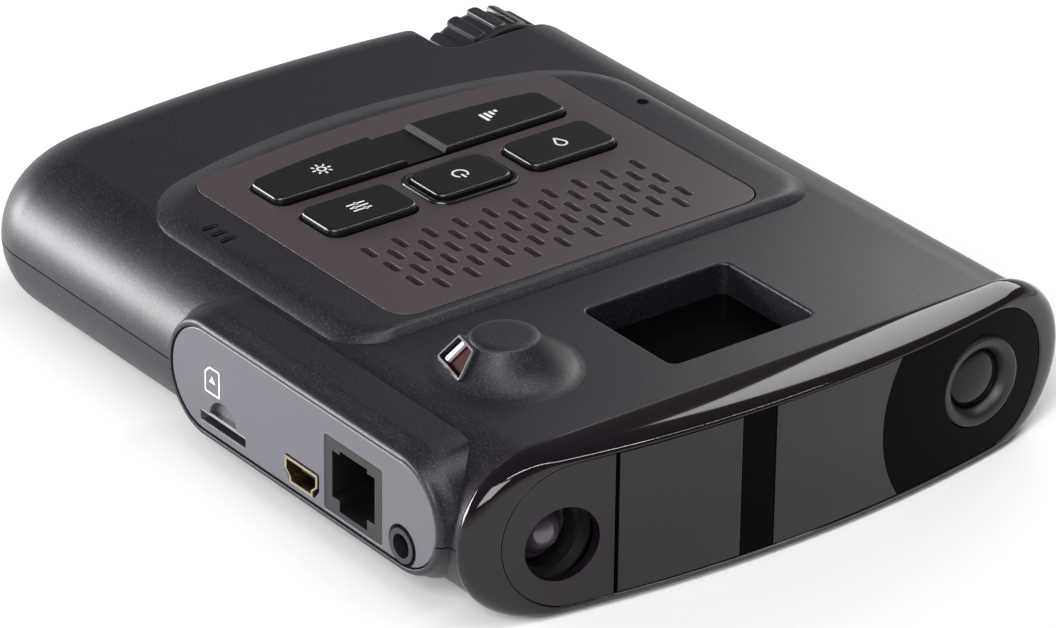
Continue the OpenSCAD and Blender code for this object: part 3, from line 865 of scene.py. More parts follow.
def stadium(half_w: float, height: float, centre: float = 12.5, steps: int = 18,
            along: int = 28) -> np.ndarray:
    """A stadium across the nose, as (x, z) points.

    Args:
        half_w: Half of its width.
        height: Its height.
        centre: Height of its middle.
        steps: Segments in a quarter of each end.
        along: Segments of each straight side.

    Returns:
        The points, anticlockwise from the right end's lowest.
    """
    r = height / 2
    reach = half_w - r
    turns = np.linspace(-math.pi / 2, math.pi / 2, 2 * steps + 1)
    right = np.column_stack((reach + r * np.cos(turns), centre + r * np.sin(turns)))
    xs = np.linspace(reach, -reach, along + 1)[1:-1]
    top = np.column_stack((xs, np.full(len(xs), centre + r)))
    left = np.column_stack((-right[::-1, 0], right[::-1, 1]))
    low = np.column_stack((-xs, np.full(len(xs), centre - r)))
    return np.vstack((right, top, left, low))


@dataclass
class Shells:
    """The painted body: two half shells, their island, sensor hill, dock pocket and socket bay."""

    half_w: float = 52.6
    height: float = 24.0
    front: float = -56.0
    tail: float = 71.0
    tail_bow: float = 1.9
    corner_w: float = 22.8
    corner_l: float = 17.0
    corner_power: float = 1.9
    wall: float = 2.0
    seam: float = 0.22
    island_z: float = 25.4
    island_x: float = -1.0
    notch: tuple[float, float] = (26.6, 53.3)
    hill: tuple[float, float] = (-29.2, -34.5)
    hill_top: float = 29.15
    boss_x: float = 54.1
    boss_y: tuple[float, float] = (-53.2, 12.0)
    boss_z: float = 13.6
    boss_h: float = 18.2
    island_half: float = 42.8
    island_y: tuple[float, float] = (-19.2, 45.2)
    sill_turn: float = 166.0
    sill_lean: float = 38.0
    sill_out: float = 8.2
    sill_shift: float = 0.7
    sill_rise: float = 0.75
    seat_gap: float = 0.22
    bush: tuple[float, float, float] = (38.6, 12.0, 4.7)
    vent_x: tuple[float, float] = (-40.5, -37.9)
    vent_y: float = 20.1
    vent_pitch: float = 2.3
    vent_half: float = 0.42

    def plan(self, inset: float, front: float) -> np.ndarray:
        """The body from above, set in by a distance, with its open end at front.

        Args:
            inset: The distance.
            front: Y of the open end.

        Returns:
            The points, anticlockwise from the right front.
        """
        reach = self.half_w - self.corner_w
        deep = self.tail - self.corner_l
        turns = np.linspace(0, math.pi / 2, 19)
        power = 2 / self.corner_power
        cx = reach + (self.corner_w - inset) * np.cos(turns) ** power
        cy = deep + (self.corner_l - inset) * np.sin(turns) ** power
        xs = np.linspace(reach, -reach, 25)[1:-1]
        rear = self.tail - inset + self.tail_bow * (1 - (xs / reach) ** 2)
        ys = np.linspace(front, deep, 13)[:-1]
        side = np.full(len(ys), self.half_w - inset)
        return np.vstack((np.column_stack((side, ys)), np.column_stack((cx, cy)),
                          np.column_stack((xs, rear)), np.column_stack((-cx[::-1], cy[::-1])),
                          np.column_stack((-side, ys[::-1]))))

    def form(self, wall: float, front: float) -> bpy.types.Object:
        """The body's fully rounded form, set in by a wall.

        Args:
            wall: Thickness of the wall.
            front: Y of the open end.

        Returns:
            The closed solid.
        """
        r = self.height / 2 - wall
        rings = []
        for turn in np.linspace(-math.pi / 2, math.pi / 2, 33):
            flat = self.plan(wall + r * (1 - math.cos(turn)), front)
            rings.append(np.column_stack((flat, np.full(len(flat), self.height / 2 + r * math.sin(turn)))))
        return loft("form", rings)

    def island(self) -> bpy.types.Object:
        """The raised island: a crisp step in front, soft sides and a long slope behind.

        Returns:
            The closed solid.
        """
        ring = bowed(self.island_x - self.island_half, self.island_y[0], self.island_x + self.island_half,
                     self.island_y[1], 7.0, 15.0, 4.2)
        top = self.island_z
        stations = ((21.5, 0, 0, 0), (23.4, 0, 0, 0), (23.9, 0.1, 0.45, 0.3), (24.15, 0.25, 0.8, 0.9),
                    (24.5, 0.6, 1.3, 2.0), (24.9, 1.0, 2.0, 3.4), (25.15, 1.25, 2.6, 4.4),
                    (25.3, 1.5, 3.3, 5.2), (25.37, 1.8, 4.1, 5.9), (top, 2.3, 5.2, 6.7))
        rings = []
        for z, front, side, back in stations:
            flat = ring(front, side, back)
            rings.append(np.column_stack((flat, np.full(len(flat), z))))
        return loft("island", rings)

    def boss(self) -> bpy.types.Object:
        """The bulge round the sockets, flared into the side and rounded over at its rim.

        Returns:
            The closed solid.
        """
        outline = self.bay(0)
        stations = [(-1.1, -45.0), (-1.1, -50.6), (-0.9, -51.3), (-0.45, -52.1), (-0.1, -52.8), (0.0, -53.2),
                    (0.1, -53.6), (0.35, -53.9), (0.7, -self.boss_x)]
        return stack("boss", outline, stations, Facing.SIDE.place)

    def bay(self, inset: float) -> Outline:
        """Outline of the socket bay in Y and Z, set in by a distance."""
        r = self.boss_h / 2 - inset
        return rectangle(self.boss_y[0] + inset, self.boss_z - r, self.boss_y[1] - inset, self.boss_z + r,
                         r - 0.01, 20)

    def hill_form(self) -> bpy.types.Object:
        """The round sensor hill, whose skirt flows out into the deck.

        Returns:
            The closed solid.
        """
        deck, top = self.height, self.hill_top
        skirt = smooth_profile([(11.8, deck - 0.03), (10.9, deck + 0.03), (10.0, deck + 0.18),
                                (9.2, deck + 0.55), (8.3, deck + 1.15), (7.2, deck + 2.1), (6.3, deck + 3.1),
                                (5.5, deck + 4.1), (5.0, deck + 4.75), (4.82, deck + 4.93)], 3)
        profile = [(11.8, deck - 3), *skirt, (4.62, top - 0.06), (4.45, top), (3.4, top), (0.01, top)]
        return lathe("hill", profile, (self.hill[0], self.hill[1], 0), Facing.UP)

    def sill_place(self, a: float, b: float, d: float) -> tuple[float, float, float]:
        """Place a point of the rear sensor's window: across, up the slope, and out of the slope.

        Args:
            a: Distance across the slope.
            b: Distance up the slope.
            d: Distance out of the slope.

        Returns:
            The point in X, Y and Z.
        """
        turn, lean = math.radians(self.sill_turn), math.radians(self.sill_lean)
        nx, ny = math.cos(turn), math.sin(turn)
        across = a + self.sill_shift
        out = self.sill_out - b * math.sin(lean) + d * math.cos(lean)
        return (self.hill[0] + nx * out + ny * across, self.hill[1] + ny * out - nx * across,
                self.height + self.sill_rise + b * math.cos(lean) + d * math.sin(lean))

    def sill(self, inset: float, low: float, high: float, edge: float) -> bpy.types.Object:
        """The window's trapezium on the hill's slope, set in by a distance.

        Args:
            inset: The distance.
            low: Depth of its back.
            high: Depth of its face.
            edge: Radius of its rounded edge.

        Returns:
            The closed solid.
        """
        corners = [(-4.3, 0.0), (4.3, 0.0), (2.7, 5.0), (-2.7, 5.0)]
        shape = polygon(corners, 0.7)
        return slab("sill", lambda more: shape(inset + more), low, high, edge, self.sill_place)

    def hollows(self) -> list[bpy.types.Object]:
        """Every tool that opens the body: knob notch, dock pocket, panel seat, bay and small holes.

        Returns:
            The tools.
        """
        deck, top = self.height, self.island_z
        nx, ny = self.notch
        dock_high = span("dock_plate")[1]
        panel_low, panel_high = span("control_panel")
        mic_low, mic_high = span("microphone")
        mic = (mic_low + mic_high) / 2
        notch = rectangle(nx, ny, nx + 60, ny + 60, 3.2, 10)
        gap = self.seat_gap
        seat = bowed(panel_low[0] - gap, panel_low[1] - gap, panel_high[0] + gap, panel_high[1] + 0.9,
                     4.2, 4.2, 2.2)
        bush_x, bush_z, bush_r = self.bush
        tools = [
            cutter(notch, deck / 2, deck, 1.0),
            cutter(notch, deck / 2 + 0.01, 0.0, 1.0),
            cutter(footprint("dock_plate", 0, 1.5), dock_high[2] - 0.02, deck, 0.45),
            stack("seat", lambda inset: seat(inset, inset, inset),
                  [(0, top - 1.45), (0, top - 0.12), (-0.12, top), (-0.12, top + 1)]),
            slab("well", footprint("control_panel", -2, 3), 19, top - 1.3, 0.1),
            cutter(self.bay(1.1), -self.boss_x + 1.65, -self.boss_x, 0.15, Facing.SIDE.place),
            stack("bay", self.bay(2.3), [(0, -self.boss_x - 1), (0, -43)], Facing.SIDE.place),
            cutter(circle(mic[0], mic[1], 0.75, 32), 20, deck, 0.2),
            slab("display", footprint("display_window", 0.1, 1.0, 0, 2), 69, 80, 0.1, Facing.FRONT.place),
            stack("bush", circle(bush_x, bush_z, bush_r), [(0, 45), (0, 56)], Facing.FRONT.place),
        ]
        for row in (-1, 0, 1):
            y = self.vent_y + row * self.vent_pitch
            slot = rectangle(self.vent_x[0], y - self.vent_half, self.vent_x[1], y + self.vent_half, 0.4)
            tools.append(cutter(slot, 22.8, 25.2, 0.12))
        return tools

    def build(self) -> None:
        """Make the two shells, the sensor pane and the seam between them."""
        body = combine(self.form(0.0, self.front), [self.island(), self.boss(), self.hill_form(),
                                                    self.sill(0, -3.4, 0.3, 0.3)], Cut.ADD)
        body = combine(body, [self.form(self.wall, self.front - 4)], Cut.REMOVE)
        floor = span("dock_plate")[1][2]
        walls = slab("dock_walls", footprint("dock_plate", 1.4, 2.4), floor - 1.6, self.height - 0.8, 0.1)
        body = combine(body, [walls], Cut.ADD)
        body = combine(body, self.hollows(), Cut.REMOVE)
        body = combine(body, [self.sill(0.55, -1.1, 3.0, 0.02)], Cut.REMOVE)
        base = body.copy()
        base.data = body.data.copy()
        bpy.context.scene.collection.objects.link(base)
        middle = self.height / 2
        reach = rectangle(-80, -80, 80, 100, 1)
        combine(body, [stack("half", reach, [(0, middle + self.seam / 2), (0, 60)])], Cut.KEEP)
        screws = [cutter(circle(x, y, 2.6, 40), 2.2, 0.0, 0.25) for x, y in Fastenings.shell_spots]
        combine(base, [stack("half", reach, [(0, -20), (0, middle - self.seam / 2)])], Cut.KEEP)
        combine(base, screws, Cut.REMOVE)
        body.name, base.name = "body_top", "body_base"
        dress(fair(body), Finishes.BODY, "root", ["upper_shell"])
        dress(fair(base), Finishes.BODY, "root", ["lower_shell"])
        pane = self.sill(0.6, -1.6, -0.75, 0.1)
        pane.name = "sensor_pane"
        dress(fair(pane), Finishes.RED_PANE, "root", ["dome_window"])
        # A light grey strip along the sensor window's edge: painted reflection of the lights on its bevel.
        strip = polygon([(1.9, 0.75), (3.0, 0.75), (1.85, 4.3), (0.9, 4.3)], 0.2)
        lip = slab("sensor_lip", strip, -0.9, -0.25, 0.12, self.sill_place)
        dress(fair(lip), Finishes.PAINTED_GLINT_STRIP, "root")
        self.display()
        self.dock_floor()

    def display(self) -> None:
        """The rear display's window, which follows the body's rounded end."""
        block = slab("block", footprint("display_window", 0, 0.9, 0, 2), 69.2, 80, 0.1, Facing.FRONT.place)
        pane = combine(self.form(0.2, self.front), [block], Cut.KEEP)
        pane.name = "display_pane"
        dress(fair(pane), Finishes.WINDOW, "root", ["display_window"])

    def dock_floor(self) -> None:
        """The gloss floor of the dock pocket."""
        low, high = span("dock_plate")
        floor = slab("dock_floor", footprint("dock_plate", -0.05, 1.4), low[2], high[2] + 0.1, 0.12)
        dress(fair(floor), Finishes.COATED, "root", ["dock_plate"])


@dataclass
class Nose:
    """The gloss nose: a rolled rim, three bowed windows, the laser lens and the camera."""

    middle: float = 12.5
    tip: float = 64.5
    bow_r: float = 210.0
    back: float = -55.3
    window_half: float = 48.0
    window_h: float = 21.7
    laser: tuple[float, float, float] = (-39.1, 11.4, 5.6)
    camera: tuple[float, float, float] = (34.2, 13.6, 6.9)
    seams: tuple[float, float] = (-30.9, -5.0)
    mask_r: float = 19.5
    crease: float = 40.0
    seam_gap: float = 0.35

    def bow(self, x: float, setback: float = 0.0) -> float:
        """The front surface's Y at an X, behind the tip by a set-back."""
        return -(self.tip - setback) + x * x / (2 * self.bow_r)

    def rim(self) -> bpy.types.Object:
        """The rolled rim round the windows, from the body's end to the front face.

        Returns:
            The closed ring.
        """
        roll = ((51.8, 23.8, 1.0), (52.6, 24.4, 0.985), (53.2, 24.85, 0.92), (53.4, 25.0, 0.8),
                (53.4, 24.95, 0.66), (53.3, 24.8, 0.52), (53.1, 24.55, 0.38), (52.8, 24.25, 0.26),
                (52.4, 23.9, 0.16), (51.9, 23.5, 0.08), (51.2, 23.1, 0.03), (50.4, 22.75, 0.005),
                (49.4, 22.35, 0.0), (48.5, 22.1, 0.0), (48.25, 21.95, 0.012), (48.15, 21.85, 0.03))
        rings = []
        for half, height, share in roll:
            flat = stadium(half, height, self.middle)
            rings.append(np.array([(x, (1 - share) * self.bow(x) + share * self.back, z) for x, z in flat]))
        for half, height, depth in ((48.15, 21.85, 1.75), (46.9, 19.8, 1.75)):
            flat = stadium(half, height, self.middle)
            rings.append(np.array([(x, self.bow(x, depth), z) for x, z in flat]))
        for half, height, y in ((46.9, 19.8, self.back - 0.7), (47.4, 20.3, self.back)):
            rings.append(np.array([(x, y, z) for x, z in stadium(half, height, self.middle)]))
        return loft("nose_rim", rings, closed=True)

    def window(self, name: str, x0: float, x1: float, setback: float) -> bpy.types.Object:
        """A bowed window between two seams.

        Args:
            name: Its name.
            x0: Its left side.
            x1: Its right side.
            setback: How far its face lies behind the bow.

        Returns:
            The window.
        """
        r = self.window_h / 2
        reach = self.window_half - r
        turns = np.linspace(0, math.pi / 2, 26)
        ends = reach + r * np.cos(turns)
        xs = np.concatenate((-ends, np.linspace(-reach, reach, 41)[1:-1], ends[::-1]))
        rows = []
        for x in xs:
            over = max(abs(x) - reach, 0.0)
            z = math.sqrt(max(r * r - over * over, 0.0))
            rows.append([(x, self.bow(x, d), self.middle + s * z) for d in (setback, 1.6) for s in (1, -1)])
        verts = np.array(rows).reshape(-1, 3) * MM
        faces = []
        for k in range(len(xs) - 1):
            a, b = 4 * k, 4 * k + 4
            faces += [(a, b, b + 1, a + 1), (a + 2, a + 3, b + 3, b + 2), (a, a + 2, b + 2, b),
                      (a + 1, b + 1, b + 3, a + 3)]
        whole = solid(name, verts, faces)
        return combine(whole, [self.bore(rectangle(x0, -5, x1, 35, 0.3))], Cut.KEEP)

    def bore(self, outline: Outline) -> bpy.types.Object:
        """A tool of an outline in X and Z that passes through the whole nose."""
        return stack("bore", outline, [(0, -80), (0, -40)], Facing.FRONT.place)

    def glaze(self, pane: bpy.types.Object, width: float, finish: Finish, *nodes: str) -> None:
        """Round a window's sharp edges over, and dress it.

        Args:
            pane: The window.
            width: Width of the rounded edge.
            finish: Its finish.
            nodes: The frame's nodes that it stands for.
        """
        step = pane.modifiers.new("edge", "BEVEL")
        step.width = width * MM
        step.segments = 3
        step.angle_limit = math.radians(50)
        dress(fair(plain_mesh(pane), self.crease), finish, "root", nodes)

    def build(self) -> None:
        """Make the nose's pieces."""
        dress(fair(self.rim(), self.crease), Finishes.NOSE, "root", ["front_bezel"])
        lx, lz, lr = self.laser
        cx, cz, cr = self.camera
        left, mid = self.seams
        pane = self.window("laser_window", -60, left - self.seam_gap, 0.12)
        combine(pane, [self.bore(circle(lx, lz, lr))], Cut.REMOVE)
        self.glaze(pane, 0.25, Finishes.NOSE, "laser_plate")
        pane = self.window("radar_window_gloss", left + self.seam_gap, mid - 5.8, 0.1)
        self.glaze(pane, 0.15, Finishes.WINDOW, "radar_window")
        self.glaze(self.window("window_band", mid - 5.7, mid - 0.1, 0.2), 0.1, Finishes.COATED)
        pane = self.window("camera_window", mid, 60, 0.1)
        combine(pane, [self.bore(circle(cx, self.middle, self.mask_r, 128))], Cut.REMOVE)
        self.glaze(pane, 0.12, Finishes.WINDOW, "camera_plate")
        mask = self.window("camera_mask", mid, 60, 0.16)
        combine(mask, [self.bore(circle(cx, self.middle, self.mask_r - 0.12, 128))], Cut.KEEP)
        combine(mask, [self.bore(circle(cx, cz, cr + 0.12))], Cut.REMOVE)
        self.glaze(mask, 0.1, Finishes.COATED)
        self.optics()

    def optics(self) -> None:
        """The laser lens in its dark tube, and the camera's hood and glass."""
        lx, lz, lr = self.laser
        cx, cz, cr = self.camera
        wall = ((lr + 0.02, -59.1), (lr + 0.02, -57.3), (lr - 0.85, -54.6), (lr - 0.05, -54.6),
                (lr + 0.4, -57.3), (lr + 0.4, -59.1))
        tube = lathe("laser_tube", wall, (lx, 0, lz), Facing.FRONT, 64, closed=True)
        dress(fair(tube), Finishes.BAFFLE, "root")
        bead = smooth_profile([(4.7, -54.3), (4.6, -54.9), (3.7, -55.3), (3.0, -56.2), (2.1, -57.3),
                               (1.0, -57.9), (0.01, -58.1)], 5)
        lens = lathe("laser_bead", [(4.7, -53.6), *bead], (lx, 0, lz), Facing.FRONT)
        dress(fair(lens), Finishes.LASER, "root", ["laser_lens"])
        hood = ((cr, -55.6), (cr, -61.7), (cr - 0.12, -62.0), (cr - 0.4, -62.15), (cr - 1.1, -62.1),
                (cr - 1.6, -61.8), (cr - 2.2, -60.9), (cr - 2.3, -60.2), (cr - 2.3, -59.2),
                (cr - 1.7, -59.0), (cr - 1.7, -55.6))
        ring = lathe("camera_hood", hood, (cx, 0, cz), Facing.FRONT, closed=True)
        dress(fair(ring), Finishes.HOOD, "root", ["camera_ring"])
        dome = [(4.55, -58.8), (4.55, -60.1), *[(4.5 * math.cos(t), -60.1 - 1.3 * math.sin(t))
                                               for t in np.linspace(0.1, 1.55, 14)], (0.01, -61.4)]
        glass = lathe("camera_glass", dome, (cx, 0, cz), Facing.FRONT)
        dress(fair(glass, 60), Finishes.LENS, "root", ["camera_lens"])


@dataclass
class ControlPanel:
    """The inlaid panel with its sound slots, and the keys that stand in it."""

    gap: float = 0.35
    slot_columns: int = 10
    slot_rows: int = 3
    slot_pitch: float = 5.4
    slot_size: tuple[float, float] = (1.3, 3.6)
    key_edge: float = 0.5
    icon_line: float = 0.32
    names: tuple[str, ...] = ("power_key", "program_key", "mark_key")
    slots_y: float = 2.6
    cut_deep: float = 3.0

    def bar(self, grow: float) -> Outline:
        """The long key's outline, bowed behind.

        Args:
            grow: How far it is grown, all round.

        Returns:
            A function that gives the outline's points, set in by a distance.
        """
        low, high = span("rocker_key")
        shape = bowed(low[0], low[1], high[0], high[1], 1.7, 1.9, 1.9)
        return lambda inset: shape(inset - grow, inset - grow, inset - grow)

    def key(self, name: str, grow: float = 0.0) -> Outline:
        """A push key's outline, grown by a distance."""
        return footprint(name, grow, 1.9 + grow)

    def build(self) -> None:
        """Make the panel, its slots, the keys and their marks."""
        low, high = span("control_panel")
        face = high[2]
        shape = bowed(low[0], low[1], high[0], high[1] + 0.9, 4.0, 4.0, 2.2)
        panel = slab("panel", lambda inset: shape(inset, inset, inset), face - 1.4, face, 0.18)
        tools = [cutter(self.bar(self.gap), face - self.cut_deep, face, 0.15)]
        tools += [cutter(self.key(n, self.gap), face - self.cut_deep, face, 0.15) for n in self.names]
        tools.append(self.slots(face))
        combine(panel, tools, Cut.REMOVE)
        dress(fair(panel), Finishes.PANEL, "root", ["control_panel"])
        self.power_rim(face)
        self.rocker()
        for name in self.names:
            self.push(name)

    def slots(self, face: float) -> bpy.types.Object:
        """The tool that cuts the staggered sound slots.

        Args:
            face: Height of the panel's face.

        Returns:
            The tool.
        """
        w, l = self.slot_size
        low, high = span("control_panel")
        x = (low[0] + high[0]) / 2
        one = cutter(rectangle(-w / 2, -l / 2, w / 2, l / 2, 0.55, 5), face - self.cut_deep, face, 0.1)
        repeat(one, staggered_tree(), {"Columns": self.slot_columns, "Rows": self.slot_rows,
                                       "Pitch": self.slot_pitch * MM, "Row Pitch": self.slot_pitch * MM},
               Finishes.PANEL)
        return shift(one, x, self.slots_y - self.slot_pitch * (self.slot_rows - 1) / 2, 0)

    def power_rim(self, face: float) -> None:
        """The raised rim round the power key.

        Args:
            face: Height of the panel's face.
        """
        outer, inner = self.key("power_key", 1.25), self.key("power_key", self.gap + 0.05)
        rise = ((0.0, face - 0.3), (0.0, face + 0.15), (0.12, face + 0.33), (0.35, face + 0.4))
        rings = [np.array([(a, b, z) for a, b in outer(inset)]) for inset, z in rise]
        rings += [np.array([(a, b, z) for a, b in inner(-inset)]) for inset, z in rise[::-1]]
        dress(fair(loft("power_key_rim", rings, closed=True)), Finishes.KEY, "root")

    def rocker(self) -> None:
        """The long key that tilts about the pin under its middle."""
        low, high = span("rocker_key")
        pin_low, pin_high = span("rocker_pin")
        x = (low[0] + high[0]) / 2
        top = high[2]
        bar = slab("rocker_bar", self.bar(0), top - 2.6, top, self.key_edge)
        valley = [(x - 3.2, top - 0.95), (x + 3.2, top - 0.95), (x + 4.7, top + 1), (x - 4.7, top + 1)]
        dip = stack("dip", polygon(valley, 0.3), [(0, low[1] - 3), (0, high[1] + 3)], Facing.FRONT.place)
        combine(bar, [dip], Cut.REMOVE)
        foot = rectangle(x - 2.2, low[1] + 2.4, x + 2.2, low[1] + 7.6, 0.5)
        lug = slab("lug", foot, top - 2.5, low[2], 0.2)
        pin = stack("pin", circle(x, (pin_low[2] + pin_high[2]) / 2, 0.86, 32),
                    [(0, low[1] - 5), (0, high[1] + 5)], Facing.FRONT.place)
        combine(lug, [pin], Cut.REMOVE)
        dress(fair(join("rocker_bar_key", [bar, lug])), Finishes.KEY, "rocker", ["rocker_key"])
        y = (low[1] + high[1]) / 2 - 0.3
        self.ink("brighter_mark", self.sun(), x - 15.5, y, top, "rocker")
        self.ink("reach_mark", self.steps(), x + 15.5, y, top, "rocker")

    def push(self, name: str) -> None:
        """One push key and its mark.

        Args:
            name: The key's frame node.
        """
        low, high = span(name)
        body = name.split("_")[0]
        cap = slab(name + "_cap", self.key(name), low[2], high[2], self.key_edge)
        dress(fair(cap), Finishes.KEY, body, [name])
        x, y = (low[0] + high[0]) / 2, (low[1] + high[1]) / 2
        marks = {"power_key": self.power, "program_key": self.sliders, "mark_key": self.pin}
        self.ink(name + "_mark", marks[name](), x, y, high[2], body)

    def ink(self, name: str, shapes: Sequence[Sequence[Point]], x: float, y: float, top: float,
            body: str) -> None:
        """Print flat convex shapes on a key's top, upright for someone behind the detector.

        Args:
            name: Name of the mark.
            shapes: The corners of each shape, about the mark's middle.
            x: X of the mark's middle.
            y: Y of the mark's middle.
            top: Height of the key's top.
            body: The body that it moves with.
        """
        parts = [stack("ink", polygon([(x - a, y - b) for a, b in shape], 0.02, 1),
                       [(0, top - 0.03), (0, top + 0.025)]) for shape in shapes]
        dress(join(name, parts), Finishes.INK, body)

    def line(self, x0: float, y0: float, x1: float, y1: float) -> list[Point]:
        """A line of the marks' width between two points."""
        return stroke(x0, y0, x1, y1, self.icon_line)

    def curve(self, y: float, r: float, start: float, end: float, steps: int) -> list[list[Point]]:
        """An arc of strokes about a centre on the mark's upright.

        Args:
            y: The centre's height.
            r: Radius.
            start: First angle in degrees.
            end: Last angle in degrees.
            steps: Strokes in the arc.

        Returns:
            The strokes.
        """
        turns = np.radians(np.linspace(start, end, steps + 1))
        spots = [(r * math.cos(t), y + r * math.sin(t)) for t in turns]
        return [self.line(*a, *b) for a, b in zip(spots[:-1], spots[1:])]

    def sun(self) -> list[list[Point]]:
        """A ring with eight rays, for brightness.

        Returns:
            The mark's convex shapes.
        """
        turns = np.linspace(0, 2 * math.pi, 8, endpoint=False)
        rays = [self.line(1.05 * c, 1.05 * s, 1.6 * c, 1.6 * s)
                for c, s in ((math.cos(t), math.sin(t)) for t in turns)]
        return self.curve(0, 0.65, 0, 360, 16) + rays

    def steps(self) -> list[list[Point]]:
        """Four rising bars, for reach."""
        return [tile(-1.6 + 0.9 * k, -1.2, -1.1 + 0.9 * k, -0.5 + 0.6 * k) for k in range(4)]

    def power(self) -> list[list[Point]]:
        """An open ring with a stroke, for power."""
        return self.curve(0, 1.15, 125, 415, 18) + [self.line(0, 0.3, 0, 1.5)]

    def sliders(self) -> list[list[Point]]:
        """Three sliders, for settings.

        Returns:
            The mark's convex shapes.
        """
        rows = []
        for k, at in enumerate((-0.6, 0.7, -0.1)):
            row = 0.95 - 0.95 * k
            rows.append(self.line(-1.6, row, 1.6, row))
            rows.append(tile(at - 0.22, row - 0.38, at + 0.22, row + 0.38))
        return rows

    def pin(self) -> list[list[Point]]:
        """A map pin, for marking a place."""
        sides = [self.line(-0.74, 0.1, 0, -1.4), self.line(0, -1.4, 0.74, 0.1)]
        return self.curve(0.5, 0.85, -30, 210, 14) + sides


@dataclass
class SocketBay:
    """The plate of the socket bay, with its printed card mark."""

    shells: Shells
    thick: float = 1.4
    play: float = 0.12
    mark_line: float = 0.28

    def build(self) -> None:
        """Make the plate with an opening for each socket."""
        face = span("port_plate")[0][0]
        plate = slab("socket_plate", self.shells.bay(1.25), face + self.thick, face, 0.25, Facing.SIDE.place)
        usb_low, usb_high = span("usb_socket")
        card_low, card_high = span("card_socket")
        ring_low, ring_high = span("audio_ring")
        play = self.play
        hole = footprint("power_jack", play, 0.4, 1, 2)
        tools = [cutter(hole, face + 3, face, 0.12, Facing.SIDE.place)]
        slot = rectangle(card_low[1] + 0.4, card_low[2] + 0.45, card_high[1] - 0.4, card_high[2] - 0.2, 0.2)
        tools.append(cutter(slot, face + 3, face, 0.1, Facing.SIDE.place))
        y, z = (usb_low[1] + usb_high[1]) / 2, usb_low[2]
        w, h = (usb_high[1] - usb_low[1]) / 2 + play, usb_high[2] - usb_low[2]
        shape = [(y - w + 1.1, z - play), (y + w - 1.1, z - play), (y + w, z + 1.35), (y + w, z + h + play),
                 (y - w, z + h + play), (y - w, z + 1.35)]
        tools.append(cutter(polygon(shape, 0.25), face + 3, face, 0.12, Facing.SIDE.place))
        ring = (ring_low + ring_high) / 2
        tools.append(cutter(circle(ring[1], ring[2], 3.08), face + 3, face, 0.1, Facing.SIDE.place))
        notch_y, notch_z = (card_low[1] + card_high[1]) / 2, card_high[2] - 0.4
        turns = np.linspace(0, math.pi, 25)
        half = [(notch_y + 3.3 * math.cos(t), notch_z + 3.0 * math.sin(t)) for t in turns]
        tools.append(cutter(polygon(half, 0.1), face + 1.1, face, 0.15, Facing.SIDE.place))
        dress(fair(combine(plate, tools, Cut.REMOVE)), Finishes.BAY, "root", ["port_plate"])
        self.card_mark(face, notch_y + 4.2)

    def card_mark(self, face: float, y: float) -> None:
        """A card's outline with an arrow, printed above the card slot.

        Args:
            face: X of the plate's face.
            y: Y of the outline's rear end.
        """
        z = 12.3
        path = [(y, z), (y - 3.4, z), (y - 3.4, z + 4.0), (y - 1.1, z + 4.0), (y, z + 3.0)]
        parts = [self.print_shape(face, stroke(*a, *b, self.mark_line))
                 for a, b in zip(path, path[1:] + path[:1])]
        middle = y - 1.7
        arrow = [(middle - 0.75, z + 1.7), (middle + 0.75, z + 1.7), (middle, z + 2.8)]
        parts.append(self.print_shape(face, arrow))
        dress(join("card_mark", parts), Finishes.INK, "root")

    def print_shape(self, face: float, corners: Sequence[Point]) -> bpy.types.Object:
        """One printed shape on the plate's face."""
        layer = [(0, face + 0.03), (0, face - 0.03)]
        return stack("ink", polygon(corners, 0.02, 1), layer, Facing.SIDE.place)


@dataclass
class Knob:
    """The ribbed volume knob at the rear corner."""

    ribs: int = 18
    rib_w: float = 2.3
    rib_rise: float = 0.75
    collar: float = 1.1

    def build(self) -> None:
        """Make the knob's barrel, its ribs and its collar."""
        low, high = span("volume_knob")
        x, z = (low[0] + high[0]) / 2, (low[2] + high[2]) / 2
        r = (high[2] - low[2]) / 2
        y0, y1 = low[1], high[1]
        barrel = [(3.05, y0 + 0.02), (r - 1.6, y0 + 0.02), (r - 1.1, y0 + 0.25),
                  (r - self.rib_rise, y0 + 0.9), (r - self.rib_rise, y1 - 3.6), (r - 1.2, y1 - 2.2),
                  (r - 2.3, y1 - 0.9), (r - 3.8, y1 - 0.15), (r - 5.4, y1), (r - 8.2, y1 - 0.2),
                  (0.01, y1 - 0.3)]
        body = lathe("knob_barrel", barrel, (x, 0, z), Facing.FRONT)
        top = y0 + self.collar
        hoop = ((r - 1.4, y0 + 0.1), (r - 0.35, y0 + 0.1), (r - 0.05, y0 + 0.35),
                (r - 0.05, y0 + self.collar - 0.2), (r - 0.3, top), (r - 1.4, top))
        band = lathe("collar", hoop, (x, 0, z), Facing.FRONT, closed=True)
        dress(fair(join("knob_body", [body, band])), Finishes.KNOB, "volume", ["volume_knob"])
        half = self.rib_w / 2
        outline = rectangle(-half, 0, half, y1 - 2.3 - (y0 + self.collar + 0.3), 0.9, 6)
        crown = [(0, r - 1.9), (0, r - 0.5), (0.1, r - 0.25), (0.35, r - 0.08), (0.6, r - 0.03)]
        rib = stack("knob_ribs", outline, crown, lambda a, b, d: (a, y0 + self.collar + 0.3 + b, d))
        repeat(rib, ring_tree(), {"Count": self.ribs}, Finishes.KNOB)
        shift(rib, x, 0, z)
        dress(fair(rib), Finishes.KNOB, "volume")


